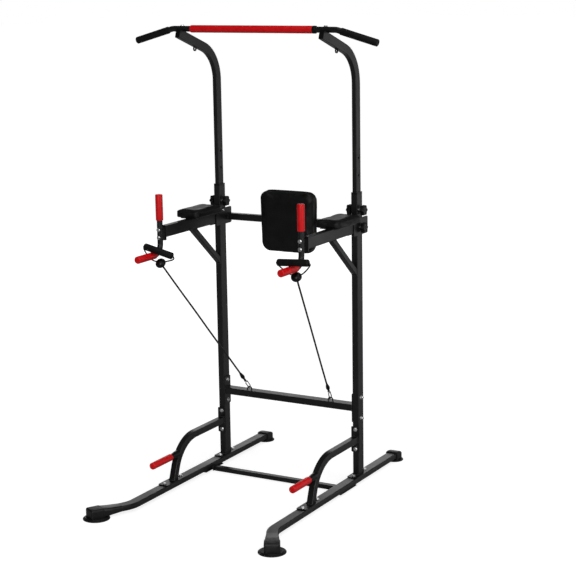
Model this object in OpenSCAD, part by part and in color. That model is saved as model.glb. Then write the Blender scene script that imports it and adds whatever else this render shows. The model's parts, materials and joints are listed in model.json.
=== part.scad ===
// Power tower: a free-standing frame with a height-adjustable pull-up bar, dip arms,
// a back pad and two elastic cord trainers. The floor is Z = 0, the user faces -Y.

/* [Frame] */
// Distance between the centres of the two uprights
upright_gap = 700; // [680:1:720]
// Height of the uprights above the floor
upright_top = 1322; // [1300:1:1340]
// Height of the middle beam's centre line
mid_beam_z = 352; // [340:1:365]
// Wall of every steel tube
wall = 2; // [1.5:0.5:2.5]

/* [Base] */
// Width of the base rail tube
rail_w = 50; // [46:1:54]
// Height of the base rail tube
rail_h = 25; // [22:1:28]
// Height of the rail's underside above the floor
rail_z = 15; // [14:1:18]
// Distance of each front foot from the middle plane
foot_x = 430; // [415:1:440]

/* [Pull-up bar] */
// Height of the pull-up bar's centre line in the position shown
bar_z = 2028; // [2020:1:2036]
// Half of the bar's whole width
bar_half = 588; // [575:1:600]
// Diameter of the bar and of the dip handles
bar_d = 25; // [24:0.5:26]
// Diameter of the foam grips
grip_d = 32; // [30:0.5:34]

/* [Dip station] */
// Height of the arms' underside
arm_z = 1147; // [1140:1:1150]
// Width of the back pad
back_w = 270; // [250:1:290]
// Width of an arm pad
pad_w = 118; // [110:1:122]

/* [Adjustment] */
// Distance between the adjusting holes
hole_pitch = 76; // [74:1:78]
// Height of the height pins
pin_z = 1243; // [1240:1:1246]

/* [Hidden] */
$fn = 32;
half = upright_gap / 2;
upright_y = 282;          // centre of the uprights, behind the middle of the base
up_x = 30;                // upright tube, across
up_y = 50;                // upright tube, front to back
in_x = 22;                // telescoping tube, across
in_y = 40;                // telescoping tube, front to back
corner = 3;               // outer corner radius of the square tubes
plate = 4;                // steel plate thickness
front = upright_y - up_y / 2;
rear = upright_y + up_y / 2;
rail_top = rail_z + rail_h;
bolt_r = 4;
hole_r = 4.2;
hex_r = 7.5;
thread_r = 5;             // pins and knob screws
bore_r = 5.05;            // their bores, a running fit
bar_r = bar_d / 2;
grip_r = grip_d / 2;

// Base rails
rail_back = 672;
bend_y = -497;
front_foot_y = -640;
rear_foot_y = 656;
front_foot_r = 58;
rear_foot_r = 42;
splay = atan2(foot_x - half, bend_y - front_foot_y);
leg = norm([foot_x - half, bend_y - front_foot_y]);
rail_bend_r = 120;
rail_trim = rail_bend_r * tan(splay / 2);
rail_past_foot = 25;
rail_corner = 6;

// Crossbar, braces and pegs
cross_y = 137;
cross_plate = 150;
brace_z = 210;
brace_w = 30;
brace_arc = 168;
brace_turn = 70;
brace_run = 245;
peg_z = 152;
peg_r = 11;
peg_grip_r = 15.5;
peg_end = -330;
peg_cap = 6;              // foam over the peg's end
peg_foam_end = -158;
peg_root = -120;          // inside the brace's wall
brace_bolt = 45;
brace_plate_y = -175;

// Middle beam and the cord eyes on it
beam_h = 30;
beam_bolt = 48;
eye_x = 212;
eye_r = 11;
eye_wire = 3;
eye_leg = 3;
eye_top = mid_beam_z + beam_h / 2 + eye_leg + eye_r;

// Telescoping tubes
tube_bottom = 1040;
tube_arc_z = 1791;
tube_arc = 160;
tube_turn = 71;
tube_run = 209;
holes_up = 3;
holes_down = 2;
sleeve_bottom = 1200;
sleeve_lip = 10;
slide_gap = 0.3;
bar_y = 12;
bar_bend_x = 400;
bar_bend_r = 60;
bar_dip = 15.5;
mid_grip = 305;
end_grip_r = 15.2;
grip_cap = 4;             // foam over a tube's end

// Dip station
arm_h = 50;
arm_end = -188;
saddle = 19;
handle_x = 347;
handle_y = -215;
handle_arc = 45;
low_z = 1080;
dip_grip_low = 1225;
dip_grip_top = 1337;
low_grip_end = -392;
bracket_low = 1135;
bracket_high = 1210;
bracket_front = 218;
bracket_back = 350;
back_beam_y = 334;
back_beam_z = 1165;
knob_z = 1167;
stay_w = 25;
pad_front = 1;
pad_long = 212;
pad_low = 1202;
pad_high = 1237;
back_low = 1028;
back_high = 1306;
back_front = 270;
board_t = 3;

// Knobs
knob_r = 24;
knob_t = 20;
nut_r = 9;

// Cord trainers, one list per side: the points are placed by hand
cord_r = 4;
loop_r = 3;
ball_r = 23;
ball_flat = 18;
handle_r = 15;
handle_half = 72;
handle_bore = 6;
ball_left = [-310, -272, 1050];
ball_right = [340, -248, 1040];
hook_left = [-eye_x, upright_y, eye_top];
hook_right = [eye_x, upright_y, eye_top];
handle_left = [-310, -286, 1104];
handle_right = [364, -317, 1113];
grip_line_left = [35, 0, -8];
grip_line_right = [35, 0, 2];
cord_points_left = [[-222, 225, 450], [-239, 127, 568], [-257, 28, 687], [-274, -70, 806],
    [-292, -168, 924], [-309, -264, 1041]];
cord_points_right = [[225, 226, 450], [248, 130, 569], [271, 36, 686], [294, -58, 803],
    [316, -151, 920], [338, -241, 1031]];
loop_points_left = [[-322, -274, 1055], [-345, -276, 1051], [-364, -279, 1061],
    [-377, -282, 1081], [-386, -285, 1103], [-387, -286, 1117], [-380, -286, 1120],
    [-345, -286, 1112], [-310, -286, 1104], [-275, -286, 1096], [-240, -286, 1088],
    [-232, -286, 1084], [-230, -284, 1075], [-242, -281, 1065], [-265, -277, 1058],
    [-292, -273, 1054]];
loop_points_right = [[326, -252, 1044], [314, -262, 1052], [302, -280, 1068],
    [291, -298, 1086], [285, -311, 1101], [287, -316, 1108], [294, -317, 1109],
    [329, -317, 1111], [364, -317, 1113], [399, -317, 1115], [434, -317, 1117],
    [441, -316, 1116], [443, -310, 1108], [432, -298, 1093], [410, -280, 1073],
    [385, -264, 1056], [355, -250, 1045]];

// Snap hooks, measured along the cord from the eye's wire
hook_wire = 2.5;
hook_half = 8;
hook_low = 2.2;
hook_high = 32.2;
gate_r = 2.2;
gate_pivot = 4.9;
gate_pin_r = 1.4;         // pivot pin of the gate
gate_pin_half = 3.4;
gate_tip = 31.8;
ring_wire = 2.2;
ring_r = 6;
ring_at = 41.2;
clip_low = 45.5;
clip_high = 100;

// ---- Helpers ----

// Shows the children on the right for side 1, or mirrored to the left for side -1
module on_side(side) {
    if (side > 0) children();
    else mirror([1, 0, 0]) children();
}

module on_both() {
    for (side = [1, -1]) on_side(side) children();
}

module round_rect(w, h, r) {
    square([w - 2 * r, h], center = true);
    square([w, h - 2 * r], center = true);
    for (x = [-1, 1], y = [-1, 1]) translate([x * (w / 2 - r), y * (h / 2 - r)]) circle(r);
}

// A tube's bend is a hair slimmer than its straights, which reach a little way into it,
// so no two faces of one tube coincide. The sections read the difference from $slim.
bend_slim = 0.02;
bend_lap = 0.5;
$slim = 0;

module solid_section(w, h, r) {
    round_rect(w - 2 * $slim, h - 2 * $slim, r - $slim);
}

// The cross-section of a rectangular steel tube
module tube_section(w, h, r) {
    inner = 2 * (wall - $slim);
    difference() {
        solid_section(w, h, r);
        round_rect(w - inner, h - inner, r - inner / 2);
    }
}

module pipe_section(r) {
    difference() {
        circle(r - $slim);
        circle(r - wall + $slim);
    }
}

// A straight piece of section along +X; the section's x lies on Y and its y on Z
module straight(length) {
    rotate([90, 0, 90]) linear_extrude(length) children();
}

// A bend that starts along +X and turns left
module bend(radius, angle) {
    translate([0, radius, 0]) rotate([0, 0, -90])
        rotate_extrude(angle = angle) translate([radius, 0]) children();
}

// A bend followed by a straight
module bend_on(radius, angle, second) {
    bend(radius, angle, $slim = bend_slim) children();
    translate([radius * sin(angle), radius * (1 - cos(angle)), 0]) rotate([0, 0, angle])
        translate([-bend_lap, 0, 0]) straight(second + bend_lap) children();
}

// A straight, a bend and a second straight in the XY plane
module bent(first, radius, angle, second) {
    straight(first + bend_lap) children();
    translate([first, 0, 0]) bend_on(radius, angle, second) children();
}

// A box given by its lowest corner and its highest corner
module block(low, high) {
    translate(low) cube(high - low);
}

module rod_x(r, x0, x1, y, z) {
    translate([x0, y, z]) rotate([0, 90, 0]) cylinder(h = x1 - x0, r = r);
}

module rod_y(r, y0, y1, x, z) {
    translate([x, y0, z]) rotate([-90, 0, 0]) cylinder(h = y1 - y0, r = r);
}

module rod_z(r, z0, z1, x, y) {
    translate([x, y, z0]) cylinder(h = z1 - z0, r = r);
}

module ring(radius, wire, angle = 360) {
    rotate_extrude(angle = angle) translate([radius, 0]) circle(wire, $fn = 20);
}

// A hex-headed bolt: the head stands on Z = 0 and the shank goes down
module bolt(length) {
    cylinder(h = 5, r = hex_r, $fn = 6);
    translate([0, 0, -length]) cylinder(h = length, r = bolt_r);
}

// A domed nut that stands on Z = 0, with a blind hole for the bolt's end
module cap_nut(depth = 9) {
    difference() {
        union() {
            cylinder(h = 6, r = hex_r, $fn = 6);
            cylinder(h = 8, r = 6.2);
            translate([0, 0, 8]) intersection() {
                sphere(6.2);
                translate([0, 0, 10]) cube(20, center = true);
            }
        }
        translate([0, 0, -1]) cylinder(h = depth + 1, r = bolt_r);
    }
}

function cross3(a, b) = [a[1] * b[2] - a[2] * b[1], a[2] * b[0] - a[0] * b[2],
    a[0] * b[1] - a[1] * b[0]];
function unit(v) = v / norm(v);

// A round cord through the points, as one closed mesh with eight sides
module cord_tube(points, r) {
    sides = 8;
    last = len(points) - 1;
    heading = [for (i = [0 : last])
        unit(points[min(i + 1, last)] - points[max(i - 1, 0)])];
    level = [0, 1, 0];
    rings = [for (i = [0 : last]) let (a = unit(cross3(level, heading[i])),
        b = cross3(heading[i], a)) for (k = [0 : sides - 1])
        points[i] + r * (cos(k * 360 / sides) * a + sin(k * 360 / sides) * b)];
    skin = [for (i = [0 : last - 1], k = [0 : sides - 1])
        [i * sides + k, (i + 1) * sides + k, (i + 1) * sides + (k + 1) % sides,
            i * sides + (k + 1) % sides]];
    start = [[for (k = [0 : sides - 1]) k]];
    end = [[for (k = [sides - 1 : -1 : 0]) last * sides + k]];
    polyhedron(points = rings, faces = concat(skin, start, end));
}

// More points on each straight stretch between the route's own points
function refine(points, parts) = [for (i = [0 : len(points) - 2], k = [0 : parts - 1])
    points[i] + (points[i + 1] - points[i]) * k / parts, points[len(points) - 1]];

// Puts the children at an eye, with Z along the cord towards the ball
module along_cord(hook, ball) {
    d = unit(ball - hook);
    translate(hook) rotate([0, atan2(d[0], d[2]), 0]) rotate([asin(-d[1]), 0, 0]) children();
}

// ---- Base ----

module rail_path() {
    translate([half, rail_back, rail_z + rail_h / 2]) rotate([0, 0, -90])
        bent(rail_back - bend_y - rail_trim, rail_bend_r, splay,
            leg - rail_trim + rail_past_foot) children();
}

rail_bolts_y = [upright_y - 47, upright_y + 62, -238, -111];

module base_rail() {
    color([0.09, 0.09, 0.1]) difference() {
        rail_path() tube_section(rail_w, rail_h, rail_corner);
        for (y = rail_bolts_y) rod_z(hole_r, 0, 60, half, y);
        for (y = [-60, 60]) rod_z(hole_r, 0, rail_z + 5, half, cross_y + y);
    }
}

module base_rail_left() { on_side(-1) base_rail(); }
module base_rail_right() { on_side(1) base_rail(); }

module foot_front() {
    color([0.03, 0.03, 0.03]) translate([foot_x, front_foot_y, 0]) {
        difference() {
            union() {
                cylinder(h = 6, r = front_foot_r);
                translate([0, 0, 6]) cylinder(h = 3, r = front_foot_r - 8);
                rotate([0, 0, splay - 90]) translate([-40, 0, 0]) straight(76)
                    translate([0, 24]) round_rect(64, 48, 9);
            }
            translate([-foot_x, -front_foot_y, 0]) rail_path() solid_section(rail_w, rail_h, rail_corner);
            translate([0, 0, -20]) cube([200, 200, 40], center = true);
        }
    }
}

module foot_front_left() { on_side(-1) foot_front(); }
module foot_front_right() { on_side(1) foot_front(); }

module foot_rear() {
    color([0.03, 0.03, 0.03]) difference() {
        union() {
            rod_z(rear_foot_r, 0, 6, half, rear_foot_y);
            translate([half, rear_foot_y + 24, 24]) rotate([0, 0, -90]) straight(52)
                round_rect(62, 48, 9);
        }
        rail_path() solid_section(rail_w, rail_h, rail_corner);
        translate([half, rear_foot_y, -20]) cube([200, 200, 40], center = true);
    }
}

module foot_rear_left() { on_side(-1) foot_rear(); }
module foot_rear_right() { on_side(1) foot_rear(); }

module base_crossbar() {
    bar_end = half - rail_w / 2 - 2;
    color([0.09, 0.09, 0.1]) {
        difference() {
            union() {
                translate([-bar_end, cross_y, 14]) straight(2 * bar_end) round_rect(30, 20, corner);
                on_both() block([bar_end - 1, cross_y - cross_plate / 2, rail_z - plate],
                    [half + rail_w / 2, cross_y + cross_plate / 2, rail_z]);
            }
            translate([-bar_end + 4, cross_y, 14]) straight(2 * bar_end - 8)
                round_rect(30 - 2 * wall, 20 - 2 * wall, 1);
            on_both() for (y = [-60, 60]) rod_z(hole_r, 0, 60, half, cross_y + y);
        }
    }
}

// ---- Lower frame ----

module upright() {
    foot = rail_top + plate;
    top = upright_top - sleeve_lip;
    color([0.09, 0.09, 0.1]) difference() {
        union() {
            translate([half, upright_y, foot]) linear_extrude(top - foot)
                round_rect(up_x, up_y, corner);
            translate([half, upright_y + 7, rail_top]) linear_extrude(plate)
                round_rect(rail_w, 144, 4);
        }
        translate([half, upright_y, foot - 10]) linear_extrude(top - foot + 20)
            round_rect(up_x - 2 * wall, up_y - 2 * wall, 1);
        for (y = [-47, 62]) rod_z(hole_r, 0, 60, half, upright_y + y);
        for (z = [-brace_bolt, brace_bolt]) rod_y(hole_r, front - 1, rear + 1, half, brace_z + z);
        for (z = [-beam_bolt, beam_bolt]) rod_x(hole_r, half - 20, half + 20, upright_y,
            mid_beam_z + z);
        rod_x(5.5, half, half + 20, upright_y, pin_z);
        rod_x(5.5, half - 20, half, upright_y, pin_z);
        rod_x(5.5, half, half + 20, upright_y, knob_z);
        rod_x(hole_r, half - 20, half, upright_y, knob_z + 34);
    }
}

module upright_left() { on_side(-1) upright(); }
module upright_right() { on_side(1) upright(); }

module brace_path() {
    translate([half, front - plate, brace_z]) rotate([-90, 0, -90])
        bent(brace_run - plate, brace_arc, brace_turn, 90) children();
}

// The cone where the push-up peg meets the brace
module peg_cone() {
    translate([half, peg_foam_end, peg_z]) rotate([-90, 0, 0])
        cylinder(h = peg_root - peg_foam_end, r1 = 12, r2 = 15);
}

module brace() {
    color([0.09, 0.09, 0.1]) difference() {
        union() {
            intersection() {
                brace_path() tube_section(brace_w, brace_w, corner);
                block([0, -400, rail_top], [500, 400, 400]);
            }
            translate([half, brace_plate_y, rail_top]) linear_extrude(plate)
                round_rect(rail_w, 154, 4);
            translate([half, front, brace_z]) rotate([90, 0, 0]) linear_extrude(plate)
                round_rect(40, 118, 4);
            difference() {
                union() {
                    rod_y(peg_r, peg_end + peg_cap, peg_root, half, peg_z);
                    peg_cone();
                }
                brace_path() solid_section(brace_w - 2, brace_w - 2, corner - 1);
            }
        }
        for (z = [-brace_bolt, brace_bolt]) rod_y(hole_r, front - 20, front + 1, half, brace_z + z);
        for (y = [-238, -111]) rod_z(hole_r, 0, 60, half, y);
    }
}

module brace_left() { on_side(-1) brace(); }
module brace_right() { on_side(1) brace(); }

module pushup_grips() {
    color([0.75, 0.05, 0.08]) on_both() difference() {
        rod_y(peg_grip_r, peg_end, peg_foam_end, half, peg_z);
        rod_y(peg_r, peg_end + peg_cap, peg_foam_end + 1, half, peg_z);
    }
}

module mid_beam() {
    beam_end = half - up_x / 2;
    color([0.09, 0.09, 0.1]) difference() {
        union() {
            translate([-beam_end, upright_y, mid_beam_z]) straight(2 * beam_end)
                round_rect(up_y, beam_h, corner);
            on_both() translate([beam_end - plate, upright_y, mid_beam_z])
                straight(plate) round_rect(up_y, 130, 4);
        }
        translate([-beam_end + plate, upright_y, mid_beam_z]) straight(2 * beam_end - 2 * plate)
            round_rect(up_y - 2 * wall, beam_h - 2 * wall, 1);
        on_both() for (z = [-beam_bolt, beam_bolt])
            rod_x(hole_r, beam_end - 10, beam_end + 1, upright_y, mid_beam_z + z);
    }
}

module cord_eyes() {
    base = mid_beam_z + beam_h / 2;
    color([0.09, 0.09, 0.1]) on_both() translate([eye_x, upright_y, base]) {
        translate([0, 0, eye_leg]) rotate([90, 0, 0]) ring(eye_r, eye_wire, 180);
        for (x = [-eye_r, eye_r]) translate([x, 0, 0]) cylinder(h = eye_leg, r = eye_wire, $fn = 20);
    }
}

// ---- Telescope ----

module upper_path() {
    translate([half, upright_y, tube_bottom]) rotate([180, -90, 0])
        bent(tube_arc_z - tube_bottom, tube_arc, tube_turn, tube_run) children();
}

module upper_tube() {
    color([0.09, 0.09, 0.1]) difference() {
        upper_path() tube_section(in_y, in_x, corner);
        rod_x(bar_r, -500, 500, bar_y, bar_z);
        rod_z(hole_r, bar_z - 26, bar_z + 20, half, bar_y);
        for (n = [-holes_down : holes_up])
            rod_x(5.5, half - 20, half + 20, upright_y, pin_z + n * hole_pitch);
    }
}

module upper_tube_left() { on_side(-1) upper_tube(); }
module upper_tube_right() { on_side(1) upper_tube(); }

tube_end_y = upright_y - tube_arc * (1 - cos(tube_turn)) - tube_run * sin(tube_turn);
tube_end_z = tube_arc_z + tube_arc * sin(tube_turn) + tube_run * cos(tube_turn);

module tube_end_caps() {
    color([0.03, 0.03, 0.03]) on_both() translate([half, tube_end_y, tube_end_z])
        rotate([180, -90, 0]) rotate([0, 0, tube_turn]) {
            straight(3) round_rect(in_y, in_x, corner);
            translate([-12, 0, 0]) straight(12)
                round_rect(in_y - 2 * wall, in_x - 2 * wall, 1);
        }
}

module guide_sleeves() {
    color([0.04, 0.04, 0.04]) on_both() difference() {
        translate([half, upright_y, 0]) {
            translate([0, 0, sleeve_bottom]) linear_extrude(upright_top - sleeve_bottom)
                round_rect(up_x - 2 * wall, up_y - 2 * wall, 1);
            translate([0, 0, upright_top - sleeve_lip]) linear_extrude(sleeve_lip)
                round_rect(up_x, up_y, corner);
        }
        translate([half, upright_y, sleeve_bottom - 1])
            linear_extrude(upright_top - sleeve_bottom + 2)
                round_rect(in_x + 2 * slide_gap, in_y + 2 * slide_gap, corner + slide_gap);
        rod_x(5.5, half, half + 20, upright_y, pin_z);
        rod_x(8, half - 20, half, upright_y, pin_z);
        rod_x(hole_r + 0.3, half - 20, half, upright_y, knob_z + 34);
    }
}

// ---- Pull-up bar ----

bar_trim = bar_bend_r * tan(bar_dip / 2);
bar_tail = (bar_half - bar_bend_x) / cos(bar_dip) - bar_trim;

module pull_up_bar() {
    bar_flat = bar_bend_x - bar_trim;
    color([0.09, 0.09, 0.1]) difference() {
        translate([0, bar_y, bar_z]) {
            translate([-bar_flat - bend_lap, 0, 0]) straight(2 * (bar_flat + bend_lap))
                pipe_section(bar_r);
            on_both() translate([bar_flat, 0, 0]) rotate([-90, 0, 0])
                bend_on(bar_bend_r, bar_dip, bar_tail - grip_cap) pipe_section(bar_r);
        }
        on_both() rod_z(hole_r, bar_z - 20, bar_z + 20, half, bar_y);
    }
}

module center_grip() {
    color([0.75, 0.05, 0.08]) difference() {
        rod_x(grip_r, -mid_grip, mid_grip, bar_y, bar_z);
        rod_x(bar_r, -mid_grip - 1, mid_grip + 1, bar_y, bar_z);
    }
}

module end_grips() {
    start = 22;
    color([0.05, 0.05, 0.05]) on_both() translate([bar_bend_x, bar_y, bar_z])
        rotate([0, bar_dip, 0]) difference() {
            rod_x(end_grip_r, start, bar_tail + bar_trim, 0, 0);
            rod_x(bar_r, start - 1, bar_tail + bar_trim - grip_cap, 0, 0);
        }
}

// A flat eye under the bend of each upper tube
module hanging_eyes() {
    eye_y = 106;
    eye_z = 1938;
    color([0.09, 0.09, 0.1]) on_both() difference() {
        union() {
            rod_x(11, half - 2.5, half + 2.5, eye_y, eye_z);
            block([half - 2.5, eye_y - 9, eye_z], [half + 2.5, eye_y + 12, eye_z + 26]);
        }
        rod_x(6, half - 5, half + 5, eye_y, eye_z);
        upper_path() solid_section(in_y, in_x, corner);
    }
}

// ---- Dip station ----

handle_bolts_z = [1150, 1184];

module dip_arm() {
    mid = arm_z + arm_h / 2;
    color([0.09, 0.09, 0.1]) difference() {
        union() {
            translate([half, arm_end, mid]) rotate([0, 0, 90])
                straight(front - arm_end) round_rect(up_x, arm_h, corner);
            translate([half, arm_end - 5, mid - 5]) rotate([0, 0, 90]) straight(5)
                round_rect(36, 66, 4);
            block([handle_x - 11, arm_end - saddle, arm_z - 10],
                [handle_x + 11, arm_end - 5, arm_z + arm_h - 6]);
        }
        translate([half, arm_end, mid]) rotate([0, 0, 90])
            straight(front - arm_end - 3) round_rect(up_x - 2 * wall, arm_h - 2 * wall, 1);
        rod_z(bar_r, arm_z - 60, arm_z + 120, handle_x, handle_y);
        for (z = handle_bolts_z) rod_y(hole_r, handle_y - 20, arm_end - 0.2, handle_x, z);
    }
}

module dip_arm_left() { on_side(-1) dip_arm(); }
module dip_arm_right() { on_side(1) dip_arm(); }

module arm_bracket() {
    inner = half - up_x / 2;
    outer = half + up_x / 2;
    middle = (bracket_low + bracket_high) / 2;
    color([0.09, 0.09, 0.1]) difference() {
        union() {
            for (x = [inner - plate, outer]) translate([x, (bracket_front + bracket_back) / 2, middle])
                straight(plate) round_rect(bracket_back - bracket_front, bracket_high - bracket_low, 8);
            rod_x(8, inner - 1, outer + 1, back_beam_y, back_beam_z);
        }
        rod_x(hole_r, inner - 10, outer + 10, back_beam_y, back_beam_z);
        rod_x(5.5, outer - 1, outer + 10, upright_y, knob_z);
        rod_x(hole_r, inner - 10, inner + 1, upright_y, knob_z + 34);
    }
}

module arm_bracket_left() { on_side(-1) arm_bracket(); }
module arm_bracket_right() { on_side(1) arm_bracket(); }

module arm_stay() {
    top_y = 48;
    low_z_at_upright = 971;
    slope = atan2(arm_z - low_z_at_upright, front - top_y);
    color([0.09, 0.09, 0.1]) intersection() {
        translate([half, top_y, arm_z]) rotate([0, 0, 90]) rotate([0, slope, 0])
            translate([-60, 0, 0]) straight(400) tube_section(stay_w, stay_w, corner);
        block([0, -300, 800], [500, front, arm_z]);
    }
}

module arm_stay_left() { on_side(-1) arm_stay(); }
module arm_stay_right() { on_side(1) arm_stay(); }

pad_screws_y = [40, 175];

module arm_pad_plates() {
    color([0.09, 0.09, 0.1]) on_both() difference() {
        translate([half, pad_front + pad_long / 2, arm_z + arm_h])
            linear_extrude(pad_low - arm_z - arm_h) round_rect(90, 180, 10);
        for (x = [-32, 32], y = pad_screws_y) rod_z(3.2, 1190, 1210, half + x, y);
    }
}

module arm_pad() {
    color([0.05, 0.05, 0.055]) difference() {
        translate([half, pad_front + pad_long / 2, pad_low])
            linear_extrude(pad_high - pad_low) round_rect(pad_w, pad_long, 22);
        for (x = [-32, 32], y = pad_screws_y) rod_z(3, 1190, pad_low + 12, half + x, y);
    }
}

module arm_pad_left() { on_side(-1) arm_pad(); }
module arm_pad_right() { on_side(1) arm_pad(); }

module dip_handle() {
    handle_top = dip_grip_top - grip_cap;
    color([0.09, 0.09, 0.1]) difference() {
        translate([handle_x, handle_y, handle_top]) rotate([180, 90, 0])
            bent(handle_top - low_z - handle_arc, handle_arc, 90,
                handle_y - handle_arc - low_grip_end - grip_cap) pipe_section(bar_r);
        for (z = handle_bolts_z) rod_y(hole_r, handle_y - 20, handle_y + 20, handle_x, z);
    }
}

module dip_handle_left() { on_side(-1) dip_handle(); }
module dip_handle_right() { on_side(1) dip_handle(); }

module dip_grips() {
    color([0.75, 0.05, 0.08]) on_both() difference() {
        rod_z(grip_r, dip_grip_low, dip_grip_top, handle_x, handle_y);
        rod_z(bar_r, dip_grip_low - 1, dip_grip_top - grip_cap, handle_x, handle_y);
    }
}

module low_grips() {
    color([0.75, 0.05, 0.08]) on_both() difference() {
        rod_y(grip_r, low_grip_end, handle_y - handle_arc, handle_x, low_z);
        rod_y(bar_r, low_grip_end + grip_cap, handle_y - handle_arc + 1, handle_x, low_z);
    }
}

// ---- Back pad ----

back_screws_x = [-80, 80];

module back_beam() {
    beam_end = half - up_x / 2 - plate;
    color([0.09, 0.09, 0.1]) difference() {
        translate([-beam_end, back_beam_y, back_beam_z]) straight(2 * beam_end)
            round_rect(30, 30, corner);
        translate([-beam_end + 6, back_beam_y, back_beam_z]) straight(2 * beam_end - 12)
            round_rect(26, 26, 1);
        on_both() rod_x(bolt_r, beam_end - 15, beam_end + 1, back_beam_y, back_beam_z);
        for (x = back_screws_x) rod_y(hole_r, back_beam_y - 20, back_beam_y + 20, x, back_beam_z);
    }
}

module back_board() {
    board_y = back_beam_y - 15;
    color([0.35, 0.25, 0.16]) difference() {
        translate([0, board_y, (back_low + back_high) / 2]) rotate([90, 0, 0])
            linear_extrude(board_t) round_rect(back_w - 20, back_high - back_low - 20, 28);
        for (x = back_screws_x) rod_y(bolt_r, board_y - 9, board_y + 1, x, back_beam_z);
    }
}

module back_pad() {
    pad_back = back_beam_y - 15 - board_t;
    color([0.05, 0.05, 0.055]) difference() {
        translate([0, pad_back, (back_low + back_high) / 2]) rotate([90, 0, 0])
            linear_extrude(pad_back - back_front) round_rect(back_w, back_high - back_low, 36);
        for (x = back_screws_x) rod_y(bolt_r, pad_back - 7, pad_back + 1, x, back_beam_z);
    }
}

// ---- Knobs ----

// A six-lobed knob, its face on +X, with a hollow hub of the given depth
module knob(hub) {
    difference() {
        straight(knob_t) {
            circle(knob_r - 4);
            for (a = [0 : 60 : 300]) rotate(a) translate([knob_r - 7, 0]) circle(7);
        }
        translate([-1, 0, 0]) straight(hub + 1) circle(nut_r + 1);
    }
}

pin_out = 373;            // inner face of the pin's knob at rest
clamp_face = 327;
arm_knob_face = 375;

module knob_nuts() {
    color([0.6, 0.6, 0.62]) on_both() for (at = [[365, 371, pin_z], [329, 335, pin_z],
        [369, 374, knob_z]]) difference() {
            rod_x(nut_r, at[0], at[1], upright_y, at[2]);
            rod_x(bore_r, at[0] - 1, at[1] + 1, upright_y, at[2]);
        }
}

module height_pin() {
    color([0.03, 0.03, 0.03]) {
        translate([pin_out, upright_y, pin_z]) knob(7);
        rod_x(thread_r, 361.4, pin_out + 10, upright_y, pin_z);
    }
}

module height_pin_left() { on_side(-1) height_pin(); }
module height_pin_right() { on_side(1) height_pin(); }

module clamp_knob() {
    color([0.03, 0.03, 0.03]) {
        translate([clamp_face, upright_y, pin_z]) mirror([1, 0, 0]) knob(4);
        rod_x(thread_r, clamp_face - 10, 338.7, upright_y, pin_z);
        rod_x(7, 337.3, 338.7, upright_y, pin_z);
    }
}

module clamp_knob_left() { on_side(-1) clamp_knob(); }
module clamp_knob_right() { on_side(1) clamp_knob(); }

module arm_knob() {
    color([0.03, 0.03, 0.03]) {
        translate([arm_knob_face, upright_y, knob_z]) knob(4);
        rod_x(thread_r, 361.6, arm_knob_face + 10, upright_y, knob_z);
    }
}

module arm_knob_left() { on_side(-1) arm_knob(); }
module arm_knob_right() { on_side(1) arm_knob(); }

// ---- Cord trainers ----

module cord_left() {
    color([0.03, 0.03, 0.03]) cord_tube(refine(cord_points_left, 6), cord_r);
}

module cord_right() {
    color([0.03, 0.03, 0.03]) cord_tube(refine(cord_points_right, 6), cord_r);
}

module cord_clip() {
    color([0.04, 0.04, 0.04]) {
        translate([0, 0, ring_at]) rotate([90, 0, 0]) ring(ring_r, ring_wire);
        translate([0, 0, clip_low]) cylinder(h = 12, r1 = 4, r2 = 6.5);
        translate([0, 0, clip_low + 12]) cylinder(h = clip_high - clip_low - 17, r1 = 6.5, r2 = 9);
        translate([0, 0, clip_high - 5]) cylinder(h = 5, r1 = 9, r2 = 6);
    }
}

module cord_clips() {
    along_cord(hook_left, ball_left) cord_clip();
    along_cord(hook_right, ball_right) cord_clip();
}

// The hook lies in its local YZ plane, with the gate on +Y
module snap_hook() {
    color([0.75, 0.75, 0.77]) {
        translate([0, 0, hook_high]) rotate([0, 0, 90]) rotate([90, 0, 0])
            ring(hook_half, hook_wire, 180);
        translate([0, 0, hook_low]) rotate([0, 0, 90]) rotate([-90, 0, 0])
            ring(hook_half, hook_wire, 180);
        translate([0, -hook_half, hook_low]) cylinder(h = hook_high - hook_low, r = hook_wire,
            $fn = 20);
    }
}

module snap_hooks() {
    along_cord(hook_left, ball_left) snap_hook();
    along_cord(hook_right, ball_right) snap_hook();
}

module snap_gate() {
    color([0.75, 0.75, 0.77]) translate([0, hook_half, gate_pivot]) {
        sphere(gate_r, $fn = 20);
        cylinder(h = gate_tip - gate_pivot, r = gate_r, $fn = 20);
        rotate([0, 90, 0]) cylinder(h = 2 * gate_pin_half, r = gate_pin_r, $fn = 20, center = true);
    }
}

module snap_gate_left() { along_cord(hook_left, ball_left) snap_gate(); }
module snap_gate_right() { along_cord(hook_right, ball_right) snap_gate(); }

module stopper_ball(hook, ball) {
    along_cord(hook, ball) translate([0, 0, norm(ball - hook)]) color([0.03, 0.03, 0.03])
        rotate_extrude() polygon([for (a = [-90 : 10 : 90]) [ball_r * cos(a), ball_flat * sin(a)]]);
}

module stopper_balls() {
    stopper_ball(hook_left, ball_left);
    stopper_ball(hook_right, ball_right);
}

module handle_loops() {
    color([0.03, 0.03, 0.03]) {
        cord_tube(loop_points_left, loop_r);
        cord_tube(loop_points_right, loop_r);
    }
}

module pull_handle(at, line) {
    d = unit(line);
    color([0.04, 0.04, 0.04]) translate(at) rotate([0, acos(d[2]), 0]) difference() {
        union() {
            cylinder(h = 2 * handle_half - 8, r = handle_r, center = true);
            cylinder(h = 2 * handle_half, r = handle_r - 3, center = true);
        }
        cylinder(h = 2 * handle_half + 2, r = handle_bore, center = true);
    }
}

module pull_handle_left() { pull_handle(handle_left, grip_line_left); }
module pull_handle_right() { pull_handle(handle_right, grip_line_right); }

// ---- Fasteners ----

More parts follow.
